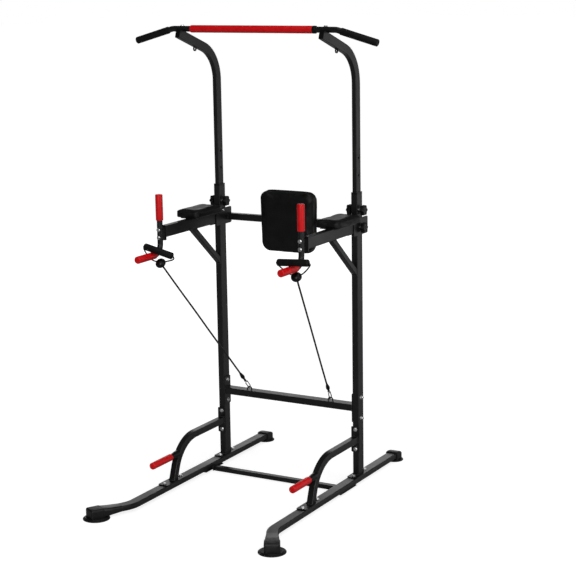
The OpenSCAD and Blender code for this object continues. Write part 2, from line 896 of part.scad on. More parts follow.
module frame_bolts() {
    color([0.75, 0.75, 0.77]) on_both() {
        for (y = rail_bolts_y) translate([half, y, rail_top + plate]) bolt(35);
        for (y = [-60, 60]) translate([half, cross_y + y, rail_z - plate]) rotate([180, 0, 0]) bolt(24);
        for (z = [-brace_bolt, brace_bolt]) translate([half, front - plate, brace_z + z])
            rotate([90, 0, 0]) bolt(62);
        for (z = [-beam_bolt, beam_bolt]) translate([half - up_x / 2 - plate, upright_y,
            mid_beam_z + z]) rotate([0, -90, 0]) bolt(41);
        for (z = handle_bolts_z) translate([handle_x, handle_y - bar_r - 0.2, z])
            rotate([90, 0, 0]) bolt(39);
        translate([half - up_x / 2 - plate, upright_y, knob_z + 34]) rotate([0, -90, 0]) bolt(5.5);
        translate([half + up_x / 2 + plate, back_beam_y, back_beam_z]) rotate([0, 90, 0]) bolt(50);
        for (x = [-32, 32], y = pad_screws_y) translate([half + x, y, arm_z + arm_h]) {
            translate([0, 0, -4]) cylinder(h = 4, r = 6, $fn = 6);
            cylinder(h = 16, r = 3);
        }
    }
    color([0.75, 0.75, 0.77]) for (x = back_screws_x)
        translate([x, back_beam_y + 15, back_beam_z]) rotate([-90, 0, 0]) bolt(38);
}

module frame_nuts() {
    color([0.75, 0.75, 0.77]) on_both() {
        for (y = rail_bolts_y) translate([half, y, rail_z - 7]) difference() {
            cylinder(h = 7, r = hex_r, $fn = 6);
            translate([0, 0, -1]) cylinder(h = 9, r = bolt_r);
        }
        for (z = [-brace_bolt, brace_bolt]) translate([half, rear, brace_z + z])
            rotate([-90, 0, 0]) cap_nut();
        for (z = [-beam_bolt, beam_bolt]) translate([half + up_x / 2, upright_y, mid_beam_z + z])
            rotate([0, 90, 0]) cap_nut();
    }
}

module upper_bolts() {
    color([0.75, 0.75, 0.77]) on_both() translate([half, bar_y, bar_z + bar_r]) bolt(36);
}

base_rail_left();
base_rail_right();
foot_front_left();
foot_front_right();
foot_rear_left();
foot_rear_right();
base_crossbar();
upright_left();
upright_right();
brace_left();
brace_right();
pushup_grips();
mid_beam();
cord_eyes();
upper_tube_left();
upper_tube_right();
tube_end_caps();
guide_sleeves();
pull_up_bar();
center_grip();
end_grips();
hanging_eyes();
dip_arm_left();
dip_arm_right();
arm_bracket_left();
arm_bracket_right();
arm_stay_left();
arm_stay_right();
arm_pad_plates();
arm_pad_left();
arm_pad_right();
dip_handle_left();
dip_handle_right();
dip_grips();
low_grips();
back_beam();
back_board();
back_pad();
knob_nuts();
height_pin_left();
height_pin_right();
clamp_knob_left();
clamp_knob_right();
arm_knob_left();
arm_knob_right();
cord_left();
cord_right();
cord_clips();
snap_hooks();
snap_gate_left();
snap_gate_right();
stopper_balls();
handle_loops();
pull_handle_left();
pull_handle_right();
frame_bolts();
frame_nuts();
upper_bolts();
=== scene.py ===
# %% [markdown]
# # A power tower, from its frame to its stitches
#
# This lesson dresses a power tower: a steel frame with a pull-up bar that slides up and
# down, dip arms with soft pads, and two elastic cord trainers. Everything here is in
# metres, and X is across, Y is front to back and Z is up. The user stands on the -Y side.

import json
import math

import bmesh
import bpy
import numpy as np
from mathutils import Matrix, Vector
from mathutils.bvhtree import BVHTree


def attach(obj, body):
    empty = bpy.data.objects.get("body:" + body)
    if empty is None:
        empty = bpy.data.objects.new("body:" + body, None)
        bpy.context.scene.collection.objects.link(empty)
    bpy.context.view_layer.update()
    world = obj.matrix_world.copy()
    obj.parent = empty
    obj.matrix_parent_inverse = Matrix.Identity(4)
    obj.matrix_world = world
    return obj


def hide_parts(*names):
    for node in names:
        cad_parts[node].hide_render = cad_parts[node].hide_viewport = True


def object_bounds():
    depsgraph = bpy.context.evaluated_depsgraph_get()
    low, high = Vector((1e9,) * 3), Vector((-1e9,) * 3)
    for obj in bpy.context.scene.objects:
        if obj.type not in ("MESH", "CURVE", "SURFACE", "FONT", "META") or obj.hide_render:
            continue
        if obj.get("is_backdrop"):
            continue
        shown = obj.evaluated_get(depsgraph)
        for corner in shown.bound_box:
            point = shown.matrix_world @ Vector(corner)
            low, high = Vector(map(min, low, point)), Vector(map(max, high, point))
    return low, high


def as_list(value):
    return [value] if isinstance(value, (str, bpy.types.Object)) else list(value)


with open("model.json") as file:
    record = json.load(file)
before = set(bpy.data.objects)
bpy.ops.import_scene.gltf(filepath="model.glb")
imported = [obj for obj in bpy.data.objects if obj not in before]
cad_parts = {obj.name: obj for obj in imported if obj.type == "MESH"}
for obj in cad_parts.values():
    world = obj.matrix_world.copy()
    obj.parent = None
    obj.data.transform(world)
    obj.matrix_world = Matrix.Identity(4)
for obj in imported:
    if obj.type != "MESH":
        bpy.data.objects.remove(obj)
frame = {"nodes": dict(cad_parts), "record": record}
cad_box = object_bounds()
nodes = frame["nodes"]
MM = 0.001
SIDES = {"left": -1, "right": 1}

# %% [markdown]
# ## The camera
#
# A long lens from a few metres away keeps upright tubes nearly parallel. The camera stands
# to the front right, a little above the bar, and looks slightly down. Its direction is
# built from a turn, a pitch and a small roll, because those are easy to adjust one by one.

# %% Camera
turn, pitch, roll = (math.radians(a) for a in (29.47, 11.65, -0.9))
ahead = Vector((-math.sin(turn) * math.cos(pitch), math.cos(turn) * math.cos(pitch), -math.sin(pitch)))
level = Vector((math.cos(turn), math.sin(turn), 0))
above = level.cross(ahead)
across = math.cos(roll) * level + math.sin(roll) * above
upward = math.cos(roll) * above - math.sin(roll) * level
lens = bpy.data.cameras.new("studio_camera")
lens.lens, lens.sensor_width, lens.clip_end = 97.73, 36.0, 200.0
camera = bpy.data.objects.new("studio_camera", lens)
stand = Matrix((across, upward, -ahead)).transposed().to_4x4()
stand.translation = (3.39638, -5.72746, 2.28813)
camera.matrix_world = stand
bpy.context.scene.collection.objects.link(camera)
bpy.context.scene.camera = camera
print("camera stands at", [round(c, 2) for c in camera.location])

# %% [markdown]
# ## Building meshes by hand
#
# Most pieces here are turned on a lathe or swept along a line, so two small helpers are enough. Each makes
# its mesh in place, with its object at the origin, and turns every face outwards. `show` names the body that
# a piece moves with and the measured nodes that it stands for.

# %% Mesh helpers
def make_mesh(name, points, faces, sharp=40, uv=None):
    mesh = bpy.data.meshes.new(name)
    mesh.from_pydata([tuple(p) for p in points], [], faces)
    if uv is not None:
        layer = mesh.uv_layers.new(name="UVMap")
        for loop in mesh.loops:
            layer.data[loop.index].uv = uv[loop.vertex_index]
    work = bmesh.new()
    work.from_mesh(mesh)
    bmesh.ops.recalc_face_normals(work, faces=work.faces)
    work.to_mesh(mesh)
    work.free()
    mesh.shade_smooth()
    mesh.set_sharp_from_angle(angle=math.radians(sharp))
    piece = bpy.data.objects.new(name, mesh)
    bpy.context.scene.collection.objects.link(piece)
    return piece


def joined(parts):
    """Several (points, faces) shapes as one."""
    points, faces = [], []
    for more_points, more_faces in parts:
        start = len(points)
        points += [tuple(p) for p in more_points]
        faces += [[i + start for i in f] for f in more_faces]
    return points, faces


def show(piece, body, slot, stands_for=(), material=None):
    if material is not None:
        piece.data.materials.clear()
        piece.data.materials.append(material)
    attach(piece, body)
    if stands_for:
        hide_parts(*stands_for)
    print("made", piece.name, "with", len(piece.data.polygons), "faces, on", body)
    return piece


def axes_of(direction):
    """Three square axes, the third along the direction."""
    third = Vector(direction).normalized()
    helper = Vector((0, 0, 1)) if abs(third.z) < 0.9 else Vector((0, 1, 0))
    first = helper.cross(third).normalized()
    return first, third.cross(first), third


def lathe(profile, origin, direction, steps=40, ring=False):
    """Turns (distance along, radius) points about a line. A profile ends on the axis, or
    runs back to its start if ring is set."""
    first, second, third = axes_of(direction)
    origin, points, rows, faces = Vector(origin), [], [], []
    for along, radius in profile:
        centre = origin + third * along
        if radius < 1e-7:
            rows.append([len(points)] * steps)
            points.append(centre)
            continue
        rows.append([len(points) + k for k in range(steps)])
        for k in range(steps):
            a = 2 * math.pi * k / steps
            points.append(centre + radius * (math.cos(a) * first + math.sin(a) * second))
    pairs = list(zip(rows, rows[1:])) + ([(rows[-1], rows[0])] if ring else [])
    for low, high in pairs:
        for k in range(steps):
            n = (k + 1) % steps
            corner = [low[k], low[n], high[n], high[k]]
            face = [c for i, c in enumerate(corner) if c not in corner[:i]]
            if len(face) > 2:
                faces.append(face)
    return points, faces


def filleted(corners, steps=4):
    """A closed or open outline of (x, y, radius) corners, as points with round corners."""
    out = []
    for i, (x, y, radius) in enumerate(corners):
        here = Vector((x, y))
        before = Vector(corners[i - 1][:2]) if i else Vector(corners[-1][:2])
        after = Vector(corners[(i + 1) % len(corners)][:2])
        if radius <= 0:
            out.append(here)
            continue
        a, b = (before - here).normalized(), (after - here).normalized()
        half = a.angle(b) / 2
        reach = min(radius / math.tan(half), 0.49 * (before - here).length, 0.49 * (after - here).length)
        start, end = here + a * reach, here + b * reach
        centre = here + (a + b).normalized() * (reach / math.cos(half))
        v, w = start - centre, end - centre
        total = v.angle_signed(w) if v.length > 1e-9 else 0
        for k in range(steps + 1):
            t = -total * k / steps
            c, s = math.cos(t), math.sin(t)
            out.append(centre + Vector((v.x * c - v.y * s, v.x * s + v.y * c)))
    return out


# %% [markdown]
# ## The cord trainers' lines
#
# Each trainer is an elastic cord in a braided sleeve. It leaves its clip on the middle
# beam, runs straight and taut to a stopper ball under the dip handle, and a thinner loop
# of cord goes from the ball through a foam handle and back. A braid needs its pattern to
# follow the line, so each cord is swept by hand with its own map: once round is one unit
# across, and a metre along is one unit up.

# %% Sweep along a line
def smooth_line(points, parts):
    """A curve through every point, with the given number of steps between two of them."""
    p = [Vector(q) for q in points]
    p = [2 * p[0] - p[1]] + p + [2 * p[-1] - p[-2]]
    line = []
    for a, b, c, d in zip(p, p[1:], p[2:], p[3:]):
        for k in range(parts):
            t = k / parts
            line.append(0.5 * (2 * b + (c - a) * t + (2 * a - 5 * b + 4 * c - d) * t * t
                               + (3 * b - a - 3 * c + d) * t**3))
    return line + [p[-2]]


def sweep(name, line, radius, sides=14, rounded=True):
    points, faces, uv, far = [], [], [], 0.0
    heading = (line[1] - line[0]).normalized()
    side = axes_of(heading)[0]
    for i, centre in enumerate(line):
        heading = (line[min(i + 1, len(line) - 1)] - line[max(i - 1, 0)]).normalized()
        side = (side - heading * side.dot(heading)).normalized()
        other = heading.cross(side)
        far += (centre - line[i - 1]).length if i else 0
        for k in range(sides + 1):
            a = 2 * math.pi * (k % sides) / sides
            points.append(centre + radius * (math.cos(a) * side + math.sin(a) * other))
            uv.append((k / sides, far))
    row = sides + 1
    for i in range(len(line) - 1):
        for k in range(sides):
            faces.append([i * row + k, i * row + k + 1, (i + 1) * row + k + 1, (i + 1) * row + k])
    for end, step in ((0, 1), (len(line) - 1, -1)):
        tip = len(points)
        out = (line[end] - line[end + step]).normalized() * radius * (0.35 if rounded else 0)
        points.append(line[end] + out)
        uv.append((0.5, uv[end * row][1]))
        faces += [[end * row + k, end * row + k + 1, tip] for k in range(sides)]
    piece = make_mesh(name, points, faces, uv=uv)
    work = bmesh.new()
    work.from_mesh(piece.data)
    bmesh.ops.remove_doubles(work, verts=work.verts, dist=1e-7)
    bmesh.ops.recalc_face_normals(work, faces=work.faces)
    work.to_mesh(piece.data)
    work.free()
    return piece


# %% [markdown]
# ## Finishes
#
# Every finish is a few nodes over the plain surface shader. Three small node groups hold
# what the finishes share: a fine grain for bumps, soft blotches between two colours, and
# crossing strands for braid. A group puts out only a value or a colour. Numbers that stay
# the same all over a surface are set on the shader's own sockets.

# %% Shared node groups
def add(tree, kind, wires=None, **values):
    """A node. Capital names are its sockets, small names its settings."""
    made = tree.nodes.new(kind)
    for key, value in values.items():
        if key[0].isupper():
            made.inputs[key.replace("_", " ")].default_value = value
        else:
            setattr(made, key, value)
    for socket, source in (wires or {}).items():
        tree.links.new(source, made.inputs[socket])
    return made


def math_node(tree, operation, first, second):
    made = tree.nodes.new("ShaderNodeMath")
    made.operation = operation
    for socket, value in zip(made.inputs, (first, second)):
        if isinstance(value, bpy.types.NodeSocket):
            tree.links.new(value, socket)
        else:
            socket.default_value = value
    return made.outputs[0]


def new_group(name, inputs, outputs):
    group = bpy.data.node_groups.new(name, "ShaderNodeTree")
    for label, kind in inputs:
        group.interface.new_socket(label, in_out="INPUT", socket_type=kind)
    for label, kind in outputs:
        group.interface.new_socket(label, in_out="OUTPUT", socket_type=kind)
    return group, group.nodes.new("NodeGroupInput").outputs, group.nodes.new("NodeGroupOutput").inputs


VECTOR, NUMBER, COLOUR = "NodeSocketVector", "NodeSocketFloat", "NodeSocketColor"

fine_grain, given, result = new_group(
    "fine_grain", [("Place", VECTOR), ("Grain in mm", NUMBER), ("Cells", NUMBER)], [("Height", NUMBER)])
per_metre = math_node(fine_grain, "DIVIDE", 1000.0, given["Grain in mm"])
soft = add(fine_grain, "ShaderNodeTexNoise", {"Vector": given["Place"], "Scale": per_metre}, Detail=3.0)
cells = add(fine_grain, "ShaderNodeTexVoronoi", {"Vector": given["Place"], "Scale": per_metre})
blend = add(fine_grain, "ShaderNodeMix", {"Factor": given["Cells"]}, data_type="FLOAT")
fine_grain.links.new(soft.outputs["Fac"], blend.inputs[2])
fine_grain.links.new(cells.outputs["Distance"], blend.inputs[3])
fine_grain.links.new(blend.outputs[0], result["Height"])

blotches, given, result = new_group(
    "blotches",
    [("Place", VECTOR), ("Patch in mm", NUMBER), ("First colour", COLOUR), ("Second colour", COLOUR)],
    [("Colour", COLOUR), ("Mask", NUMBER)])
per_metre = math_node(blotches, "DIVIDE", 1000.0, given["Patch in mm"])
soft = add(blotches, "ShaderNodeTexNoise", {"Vector": given["Place"], "Scale": per_metre}, Detail=4.0)
mask = add(blotches, "ShaderNodeMapRange", {"Value": soft.outputs["Fac"]}, From_Min=0.35, From_Max=0.65)
tint = add(blotches, "ShaderNodeMix", {"Factor": mask.outputs["Result"]}, data_type="RGBA")
blotches.links.new(given["First colour"], tint.inputs[6])
blotches.links.new(given["Second colour"], tint.inputs[7])
blotches.links.new(tint.outputs[2], result["Colour"])
blotches.links.new(mask.outputs["Result"], result["Mask"])

strands, given, result = new_group(
    "strands",
    [(label, NUMBER) for label in ("Round", "Along in metres", "Strands round", "Crossings a metre")],
    [("Height", NUMBER)])
round_turns = math_node(strands, "MULTIPLY", given["Round"], given["Strands round"])
along_turns = math_node(strands, "MULTIPLY", given["Along in metres"], given["Crossings a metre"])
waves = []
for way in ("ADD", "SUBTRACT"):
    phase = math_node(strands, way, round_turns, along_turns)
    wave = math_node(strands, "SINE", math_node(strands, "MULTIPLY", phase, 2 * math.pi), 0.0)
    waves.append(math_node(strands, "ABSOLUTE", wave, 0.0))
strands.links.new(math_node(strands, "MAXIMUM", *waves), result["Height"])
print("node groups:", fine_grain.name, blotches.name, strands.name)

# %% [markdown]
# `finish` puts the groups together for one material: a base colour between two near
# tones, a roughness that wanders a little, and a fine bump. Powder coat, foam, rubber and
# moulded plastic differ only in those numbers, which is also how they differ in reality.

# %% A finish from its numbers
def finish(name, tones, rough, grain, bump, cells=0.0, patch=60.0, depth=0.1, **shader):
    material = bpy.data.materials.new(name)
    material.use_nodes = True
    tree = material.node_tree
    surface = tree.nodes["Principled BSDF"]
    place = add(tree, "ShaderNodeTexCoord").outputs["Object"]
    patches = add(tree, "ShaderNodeGroup", {}, node_tree=blotches)
    tree.links.new(place, patches.inputs["Place"])
    patches.inputs["Patch in mm"].default_value = patch
    patches.inputs["First colour"].default_value = (*tones[0], 1)
    patches.inputs["Second colour"].default_value = (*tones[1], 1)
    tree.links.new(patches.outputs["Colour"], surface.inputs["Base Color"])
    spread = add(tree, "ShaderNodeMapRange", {"Value": patches.outputs["Mask"]},
                 To_Min=rough[0], To_Max=rough[1])
    tree.links.new(spread.outputs["Result"], surface.inputs["Roughness"])
    fine = add(tree, "ShaderNodeGroup", {}, node_tree=fine_grain)
    tree.links.new(place, fine.inputs["Place"])
    fine.inputs["Grain in mm"].default_value = grain
    fine.inputs["Cells"].default_value = cells
    relief = add(tree, "ShaderNodeBump", {"Height": fine.outputs["Height"]},
                 Strength=bump, Distance=depth * MM)
    tree.links.new(relief.outputs["Normal"], surface.inputs["Normal"])
    for key, value in shader.items():
        surface.inputs[key.replace("_", " ")].default_value = value
    return material


def grey(value, blue=1.0):
    return (value, value, value * blue)


powder_coat = finish("satin_powder_coat", (grey(0.0040, 1.12), grey(0.0058, 1.12)), (0.33, 0.41), 0.9, 0.35,
                     depth=0.05, patch=140, Specular_IOR_Level=0.42)
bright_zinc = finish("bright_zinc", (grey(0.66, 1.02), grey(0.78, 0.99)), (0.2, 0.36), 0.5, 0.25,
                     depth=0.03, patch=6, Metallic=1.0)
red_foam = finish("red_grip_foam", ((0.68, 0.0010, 0.0035), (0.78, 0.0020, 0.0060)), (0.36, 0.48), 0.7, 0.5,
                  cells=0.6, depth=0.12, patch=18, Specular_IOR_Level=0.34)
black_foam = finish("black_grip_foam", (grey(0.0032), grey(0.0052)), (0.5, 0.62), 0.7, 0.5,
                    cells=0.6, depth=0.12, patch=18, Specular_IOR_Level=0.2)
rubber = finish("foot_rubber", (grey(0.0032), grey(0.0055)), (0.4, 0.55), 1.3, 0.4, depth=0.1, patch=25,
                Specular_IOR_Level=0.35)
moulded = finish("moulded_plastic", (grey(0.0022), grey(0.0034)), (0.3, 0.4), 0.45, 0.3, depth=0.04, patch=30,
                 Specular_IOR_Level=0.28)
vinyl = finish("pad_vinyl", (grey(0.0028, 1.12), grey(0.0042, 1.12)), (0.38, 0.5), 1.6, 0.45, cells=0.85,
               depth=0.1, patch=45, Specular_IOR_Level=0.24)
thread = finish("seam_thread", (grey(0.02), grey(0.03)), (0.6, 0.7), 0.3, 0.5, depth=0.05, patch=8)
print("plain finishes:", [m.name for m in bpy.data.materials])

# %% [markdown]
# Braid and plywood need their own patterns. The braid reads the cord's own map, so its strands run round and
# along the cord wherever it bends, and the low gaps between the strands are painted darker as painted shade.
# Plywood shows its long grain on the faces, and its layers as stripes across the thickness, which lies along
# Y here. The boards are stained nearly black, so both patterns are faint.

# %% Braid and plywood
def braid_finish():
    material = finish("braided_sleeve", (grey(0.003), grey(0.007)), (0.5, 0.65), 0.4, 0.3, patch=4)
    tree = material.node_tree
    surface = tree.nodes["Principled BSDF"]
    parts = add(tree, "ShaderNodeSeparateXYZ", {"Vector": add(tree, "ShaderNodeTexCoord").outputs["UV"]})
    weave = add(tree, "ShaderNodeGroup", {}, node_tree=strands)
    tree.links.new(parts.outputs["X"], weave.inputs["Round"])
    tree.links.new(parts.outputs["Y"], weave.inputs["Along in metres"])
    weave.inputs["Strands round"].default_value = 4.0
    weave.inputs["Crossings a metre"].default_value = 170.0
    relief = add(tree, "ShaderNodeBump", {"Height": weave.outputs["Height"]}, Strength=0.8, Distance=0.4 * MM)
    tree.links.new(relief.outputs["Normal"], surface.inputs["Normal"])
    # painted shade: the low gaps between the strands are mixed towards near black
    shade = add(tree, "ShaderNodeMapRange", {"Value": weave.outputs["Height"]}, To_Min=0.35, To_Max=1.0)
    darker = add(tree, "ShaderNodeMix", {"Factor": shade.outputs["Result"]}, data_type="RGBA")
    darker.inputs[6].default_value = (0.002, 0.002, 0.002, 1)
    tree.links.new(surface.inputs["Base Color"].links[0].from_socket, darker.inputs[7])
    tree.links.new(darker.outputs[2], surface.inputs["Base Color"])
    return material


VENEER_PAIR = 0.0026


def plywood_finish():
    stain = ((0.016, 0.012, 0.009), (0.028, 0.021, 0.015))
    material = finish("plywood", stain, (0.55, 0.7), 0.8, 0.4, patch=30)
    tree = material.node_tree
    surface = tree.nodes["Principled BSDF"]
    place = add(tree, "ShaderNodeTexCoord").outputs["Object"]
    stretched = add(tree, "ShaderNodeMapping", {"Vector": place}, Scale=(40.0, 40.0, 3.0))
    grain = add(tree, "ShaderNodeTexNoise", {"Vector": stretched.outputs["Vector"]}, Scale=3.0, Detail=6.0)
    depth = add(tree, "ShaderNodeSeparateXYZ", {"Vector": place}).outputs["Y"]
    layer = math_node(tree, "SINE", math_node(tree, "MULTIPLY", depth, 2 * math.pi / VENEER_PAIR), 0.0)
    lines = math_node(tree, "ADD", math_node(tree, "MULTIPLY", layer, 0.18), grain.outputs["Fac"])
    tone = add(tree, "ShaderNodeMix", {"Factor": lines}, data_type="RGBA", blend_type="MULTIPLY")
    tree.links.new(surface.inputs["Base Color"].links[0].from_socket, tone.inputs[6])
    tone.inputs[7].default_value = (0.45, 0.36, 0.3, 1)
    tree.links.new(tone.outputs[2], surface.inputs["Base Color"])
    return material


braid, plywood = braid_finish(), plywood_finish()
print("patterned finishes:", braid.name, plywood.name)

# %% [markdown]
# ## Cords and loops
#
# The cord points follow the route of the measured parts, and the loops cut their corners a
# little. A cord starts inside its clip and ends in the ball. The loop starts in the ball,
# goes round through the handle and comes back to the ball. They are stretched tight, so the
# cords are straight, and the loops turn only where the handle ends push them out.

# %% Cords and loops
hook_at = {s: Vector((k * 0.212, 0.282, 0.381)) for s, k in SIDES.items()}
ball_at = {"left": Vector((-0.310, -0.272, 1.050)), "right": Vector((0.340, -0.248, 1.040))}
handle_at = {"left": Vector((-0.310, -0.286, 1.104)), "right": Vector((0.364, -0.317, 1.113))}
handle_line = {"left": Vector((35, 0, -8)).normalized(), "right": Vector((35, 0, 2)).normalized()}
CORD_R, LOOP_R, STEPS_BETWEEN = 4 * MM, 3 * MM, 6
cord_route = {
    "left": [(-222, 225, 450), (-239, 127, 568), (-257, 28, 687), (-274, -70, 806), (-292, -168, 924),
             (-309, -264, 1041)],
    "right": [(225, 226, 450), (248, 130, 569), (271, 36, 686), (294, -58, 803), (316, -151, 920),
              (338, -241, 1031)]}
loop_route = {
    "left": [(-322, -274, 1056), (-343, -276, 1059), (-360, -279, 1069), (-373, -282, 1086),
             (-383, -285, 1104), (-385, -286, 1116), (-380, -286, 1120), (-345, -286, 1112),
             (-310, -286, 1104), (-275, -286, 1096), (-240, -286, 1088), (-235, -286, 1085),
             (-234, -284, 1077), (-247, -281, 1069), (-269, -277, 1063), (-292, -273, 1056)],
    "right": [(326, -252, 1045), (315, -263, 1055), (303, -281, 1071), (292, -298, 1088), (286, -311, 1102),
              (287, -316, 1108), (294, -317, 1109), (329, -317, 1111), (364, -317, 1113), (399, -317, 1115),
              (434, -317, 1117), (439, -316, 1115), (439, -310, 1108), (426, -298, 1095), (404, -280, 1077),
              (380, -264, 1060), (355, -250, 1047)]}


def length_of(line):
    return sum((b - a).length for a, b in zip(line, line[1:]))


cords, loops, lines = {}, {}, {}
for side in SIDES:
    for kind, route, radius, made, node in (("cord", cord_route, CORD_R, cords, f"cord_{side}"),
                                            ("loop", loop_route, LOOP_R, loops, "handle_loops")):
        line = smooth_line([Vector(p) * MM for p in route[side]], STEPS_BETWEEN)
        lines[kind, side] = line
        made[side] = show(sweep(f"elastic_{kind}_{side}", line, radius), "frame", "cord_sleeve", [node],
                          braid)
        print(f"{kind} {side} is {length_of(line):.3f} m long")

# %% [markdown]
# ## Balls, clips and hooks on the cords
#
# These sit square to the cord, so they are made along a line from the eye on the beam to
# the ball. The ball is a squashed sphere with a parting line from its mould. The clip is a
# moulded sleeve that swells over the cord's knot, and a small swivel ring joins it to a
# snap hook, a bent wire with a spring gate.

# %% Along the cord
def cord_axes(side):
    """The hook's place and its three axes: the hook lies in the plane of the last two."""
    line = (ball_at[side] - hook_at[side]).normalized()
    lean = Matrix.Rotation(math.atan2(line.x, line.z), 3, "Y") @ Matrix.Rotation(math.asin(-line.y), 3, "X")
    return hook_at[side], lean.col[0], lean.col[1], lean.col[2]


def on_cord(side, y, z):
    origin, _, across, along = cord_axes(side)
    return origin + (across * y + along * z) * MM


def ball_shape(side):
    """A squashed sphere with a groove round its middle and a dimple at both cord holes."""
    flat, wide, profile = 18 * MM, 23 * MM, []
    for k in range(37):
        a = math.pi * (k / 36 - 0.5)
        groove = 0.5 * MM * math.exp(-((a / 0.035) ** 2))
        profile.append((flat * math.sin(a), (wide - groove) * math.cos(a)))
    inner = [(flat * 0.93, 4.2 * MM), (flat * 0.6, 3.6 * MM)]
    body = profile[3:-3]
    shape = [(-x, r) for x, r in inner[::-1]] + body + inner
    return lathe(shape, ball_at[side], cord_axes(side)[3], steps=48, ring=True)


balls = {side: show(make_mesh(f"stopper_ball_{side}", *ball_shape(side), sharp=50), "frame", "black_plastic",
                    ["stopper_balls"], moulded) for side in SIDES}

# %% Clips and swivel rings
CLIP = [(45.5, 0), (45.5, 3.2), (46.5, 4.6), (50, 5.4), (54, 4.6), (57, 4.3), (62, 6.2), (68, 8.3), (75, 9.0),
        (82, 8.4), (90, 6.8), (96, 5.6), (99.3, 5.2), (100, 4.4), (100, 0)]
RING_UP, RING_R, RING_WIRE_R = 41.2 * MM, 6 * MM, 2 * MM
clips = {}
for side in SIDES:
    origin, flat_way, _, along = cord_axes(side)
    profile = [(z * MM, r * MM) for z, r in CLIP]
    clips[side] = show(make_mesh(f"cord_clip_{side}", *lathe(profile, origin, along, steps=32), sharp=35),
                       "frame", "black_plastic", ["cord_clips"], moulded)
    middle = origin + along * RING_UP
    turns = [2 * math.pi * k / 30 for k in range(31)]
    circle = [middle + RING_R * (math.cos(a) * flat_way + math.sin(a) * along) for a in turns]
    show(sweep(f"swivel_ring_{side}", circle, RING_WIRE_R, sides=10, rounded=False), "frame", "zinc_steel",
         ["cord_clips"], bright_zinc)

# %% Snap hooks and gates
HOOK_R, HOOK_WIRE_R, GATE_FOOT, GATE_PIN_HALF = 8, 2.5 * MM, 4.9, 2.4 * MM
GATE = [(0, 0), (0, 1.4), (0.8, 2.2), (26, 2.2), (26.9, 1.4), (26.9, 0)]
GATE_PIN = [(0, 0), (0, 1.5), (4.8, 1.5), (4.8, 0)]


def half_ring(middle, first):
    """Half a circle of the hook's wire, from an angle of `first` half turns."""
    turns = [math.pi * (first + k / 12) for k in range(13)]
    return [(HOOK_R * math.cos(a), middle + HOOK_R * math.sin(a)) for a in turns]


for side in SIDES:
    _, flat_way, _, along = cord_axes(side)
    bends = half_ring(32.2, 0) + [(-HOOK_R, 22), (-HOOK_R, 12)] + half_ring(2.2, 1)
    run = [on_cord(side, y, z) for y, z in bends]
    show(sweep(f"snap_hook_{side}_wire", run, HOOK_WIRE_R, sides=12), "frame", "zinc_steel", ["snap_hooks"],
         bright_zinc)
    hinge = on_cord(side, HOOK_R, GATE_FOOT)
    gate = lathe([(z * MM, r * MM) for z, r in GATE], hinge, along, steps=16)
    pin = lathe([(z * MM, r * MM) for z, r in GATE_PIN], hinge - flat_way * GATE_PIN_HALF, flat_way, steps=14)
    show(make_mesh(f"hook_gate_{side}", *joined([gate, pin])), f"snap_gate_{side}", "zinc_steel",
         [f"snap_gate_{side}"], bright_zinc)

# %% [markdown]
# ## Pull handles
#
# A pull handle is a plastic tube in a thick foam sleeve with round ends. The loop's cord
# runs through the tube. The foam is turned on the lathe and the tube's lips show at both
# ends.

# %% Pull handles
def foam_sleeve(start, direction, length, radius, bore, closed_end=False, closed_start=False, edge=3.5 * MM):
    """A foam sleeve as a turned shape with round edges. A closed end covers the tube."""
    wall = 4 * MM
    outline = []
    if closed_start:
        outline += [(wall, 0, 0), (0, 0, 0)]
    else:
        outline += [(0, bore, 0)]
    outline += [(0, radius, edge), (length, radius, edge)]
    if closed_end:
        outline += [(length, 0, 0), (length - wall, 0, 0), (length - wall, bore, 0)]
    else:
        outline += [(length, bore, 0)]
    if closed_start:
        outline += [(wall, bore, 0)]
    points = [(p.x, p.y) for p in filleted(outline, 5)]
    return lathe(points, start, direction, steps=40, ring=True)


HANDLE_FOAM = 142 * MM
handles = {}
for side in SIDES:
    line, middle, body = handle_line[side], handle_at[side], f"pull_handle_{side}"
    foam = foam_sleeve(middle - line * HANDLE_FOAM / 2, line, HANDLE_FOAM, 15 * MM, 8 * MM, edge=5 * MM)
    handles[side] = show(make_mesh(f"handle_foam_{side}", *foam), body, "black_foam", [body], black_foam)
    tube = filleted([(-72 * MM, 6 * MM, 0.8 * MM), (-72 * MM, 9.5 * MM, 0.8 * MM), (-70 * MM, 9.5 * MM, 0),
                     (-70 * MM, 8 * MM, 0), (70 * MM, 8 * MM, 0), (70 * MM, 9.5 * MM, 0),
                     (72 * MM, 9.5 * MM, 0.8 * MM), (72 * MM, 6 * MM, 0.8 * MM)], 3)
    core = lathe([(p.x, p.y) for p in tube], middle, line, steps=32, ring=True)
    show(make_mesh(f"handle_tube_{side}", *core), body, "black_plastic", [body], moulded)

# %% The cords' ends, lengths and points, worked out and not kept
for side in SIDES:
    for kind, made, diameter, extra in (("cord", cords, 2 * CORD_R, [balls[side], clips[side]]),
                                        ("loop", loops, 2 * LOOP_R, [handles[side]])):
        line = lines[kind, side]
        tuple(line[0])
        length_of(line)
        [tuple(p) for p in line]
        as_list(extra)
print("cords said:", len(cords) + len(loops))

# %% [markdown]
# ## Foam grips
#
# The grips are soft foam sleeves pushed over the tubes. Foam has no sharp edge, so every
# end is rounded, and a sleeve at the end of a tube is closed over it. The centre grip has
# a short black collar that keeps it from creeping along the bar, and a flared black collar
# fills the way from each push-up grip to its brace.

# %% Grips on the tubes
def at(x, y, z):
    return Vector((x, y, z)) * MM


def foam(name, start, direction, length, radius, bore, body, slot, stands_for, material, **ends):
    shape = foam_sleeve(start, Vector(direction), length * MM, radius * MM, bore * MM, **ends)
    piece = show(make_mesh(name, *shape), body, slot, [stands_for], material)
    return piece


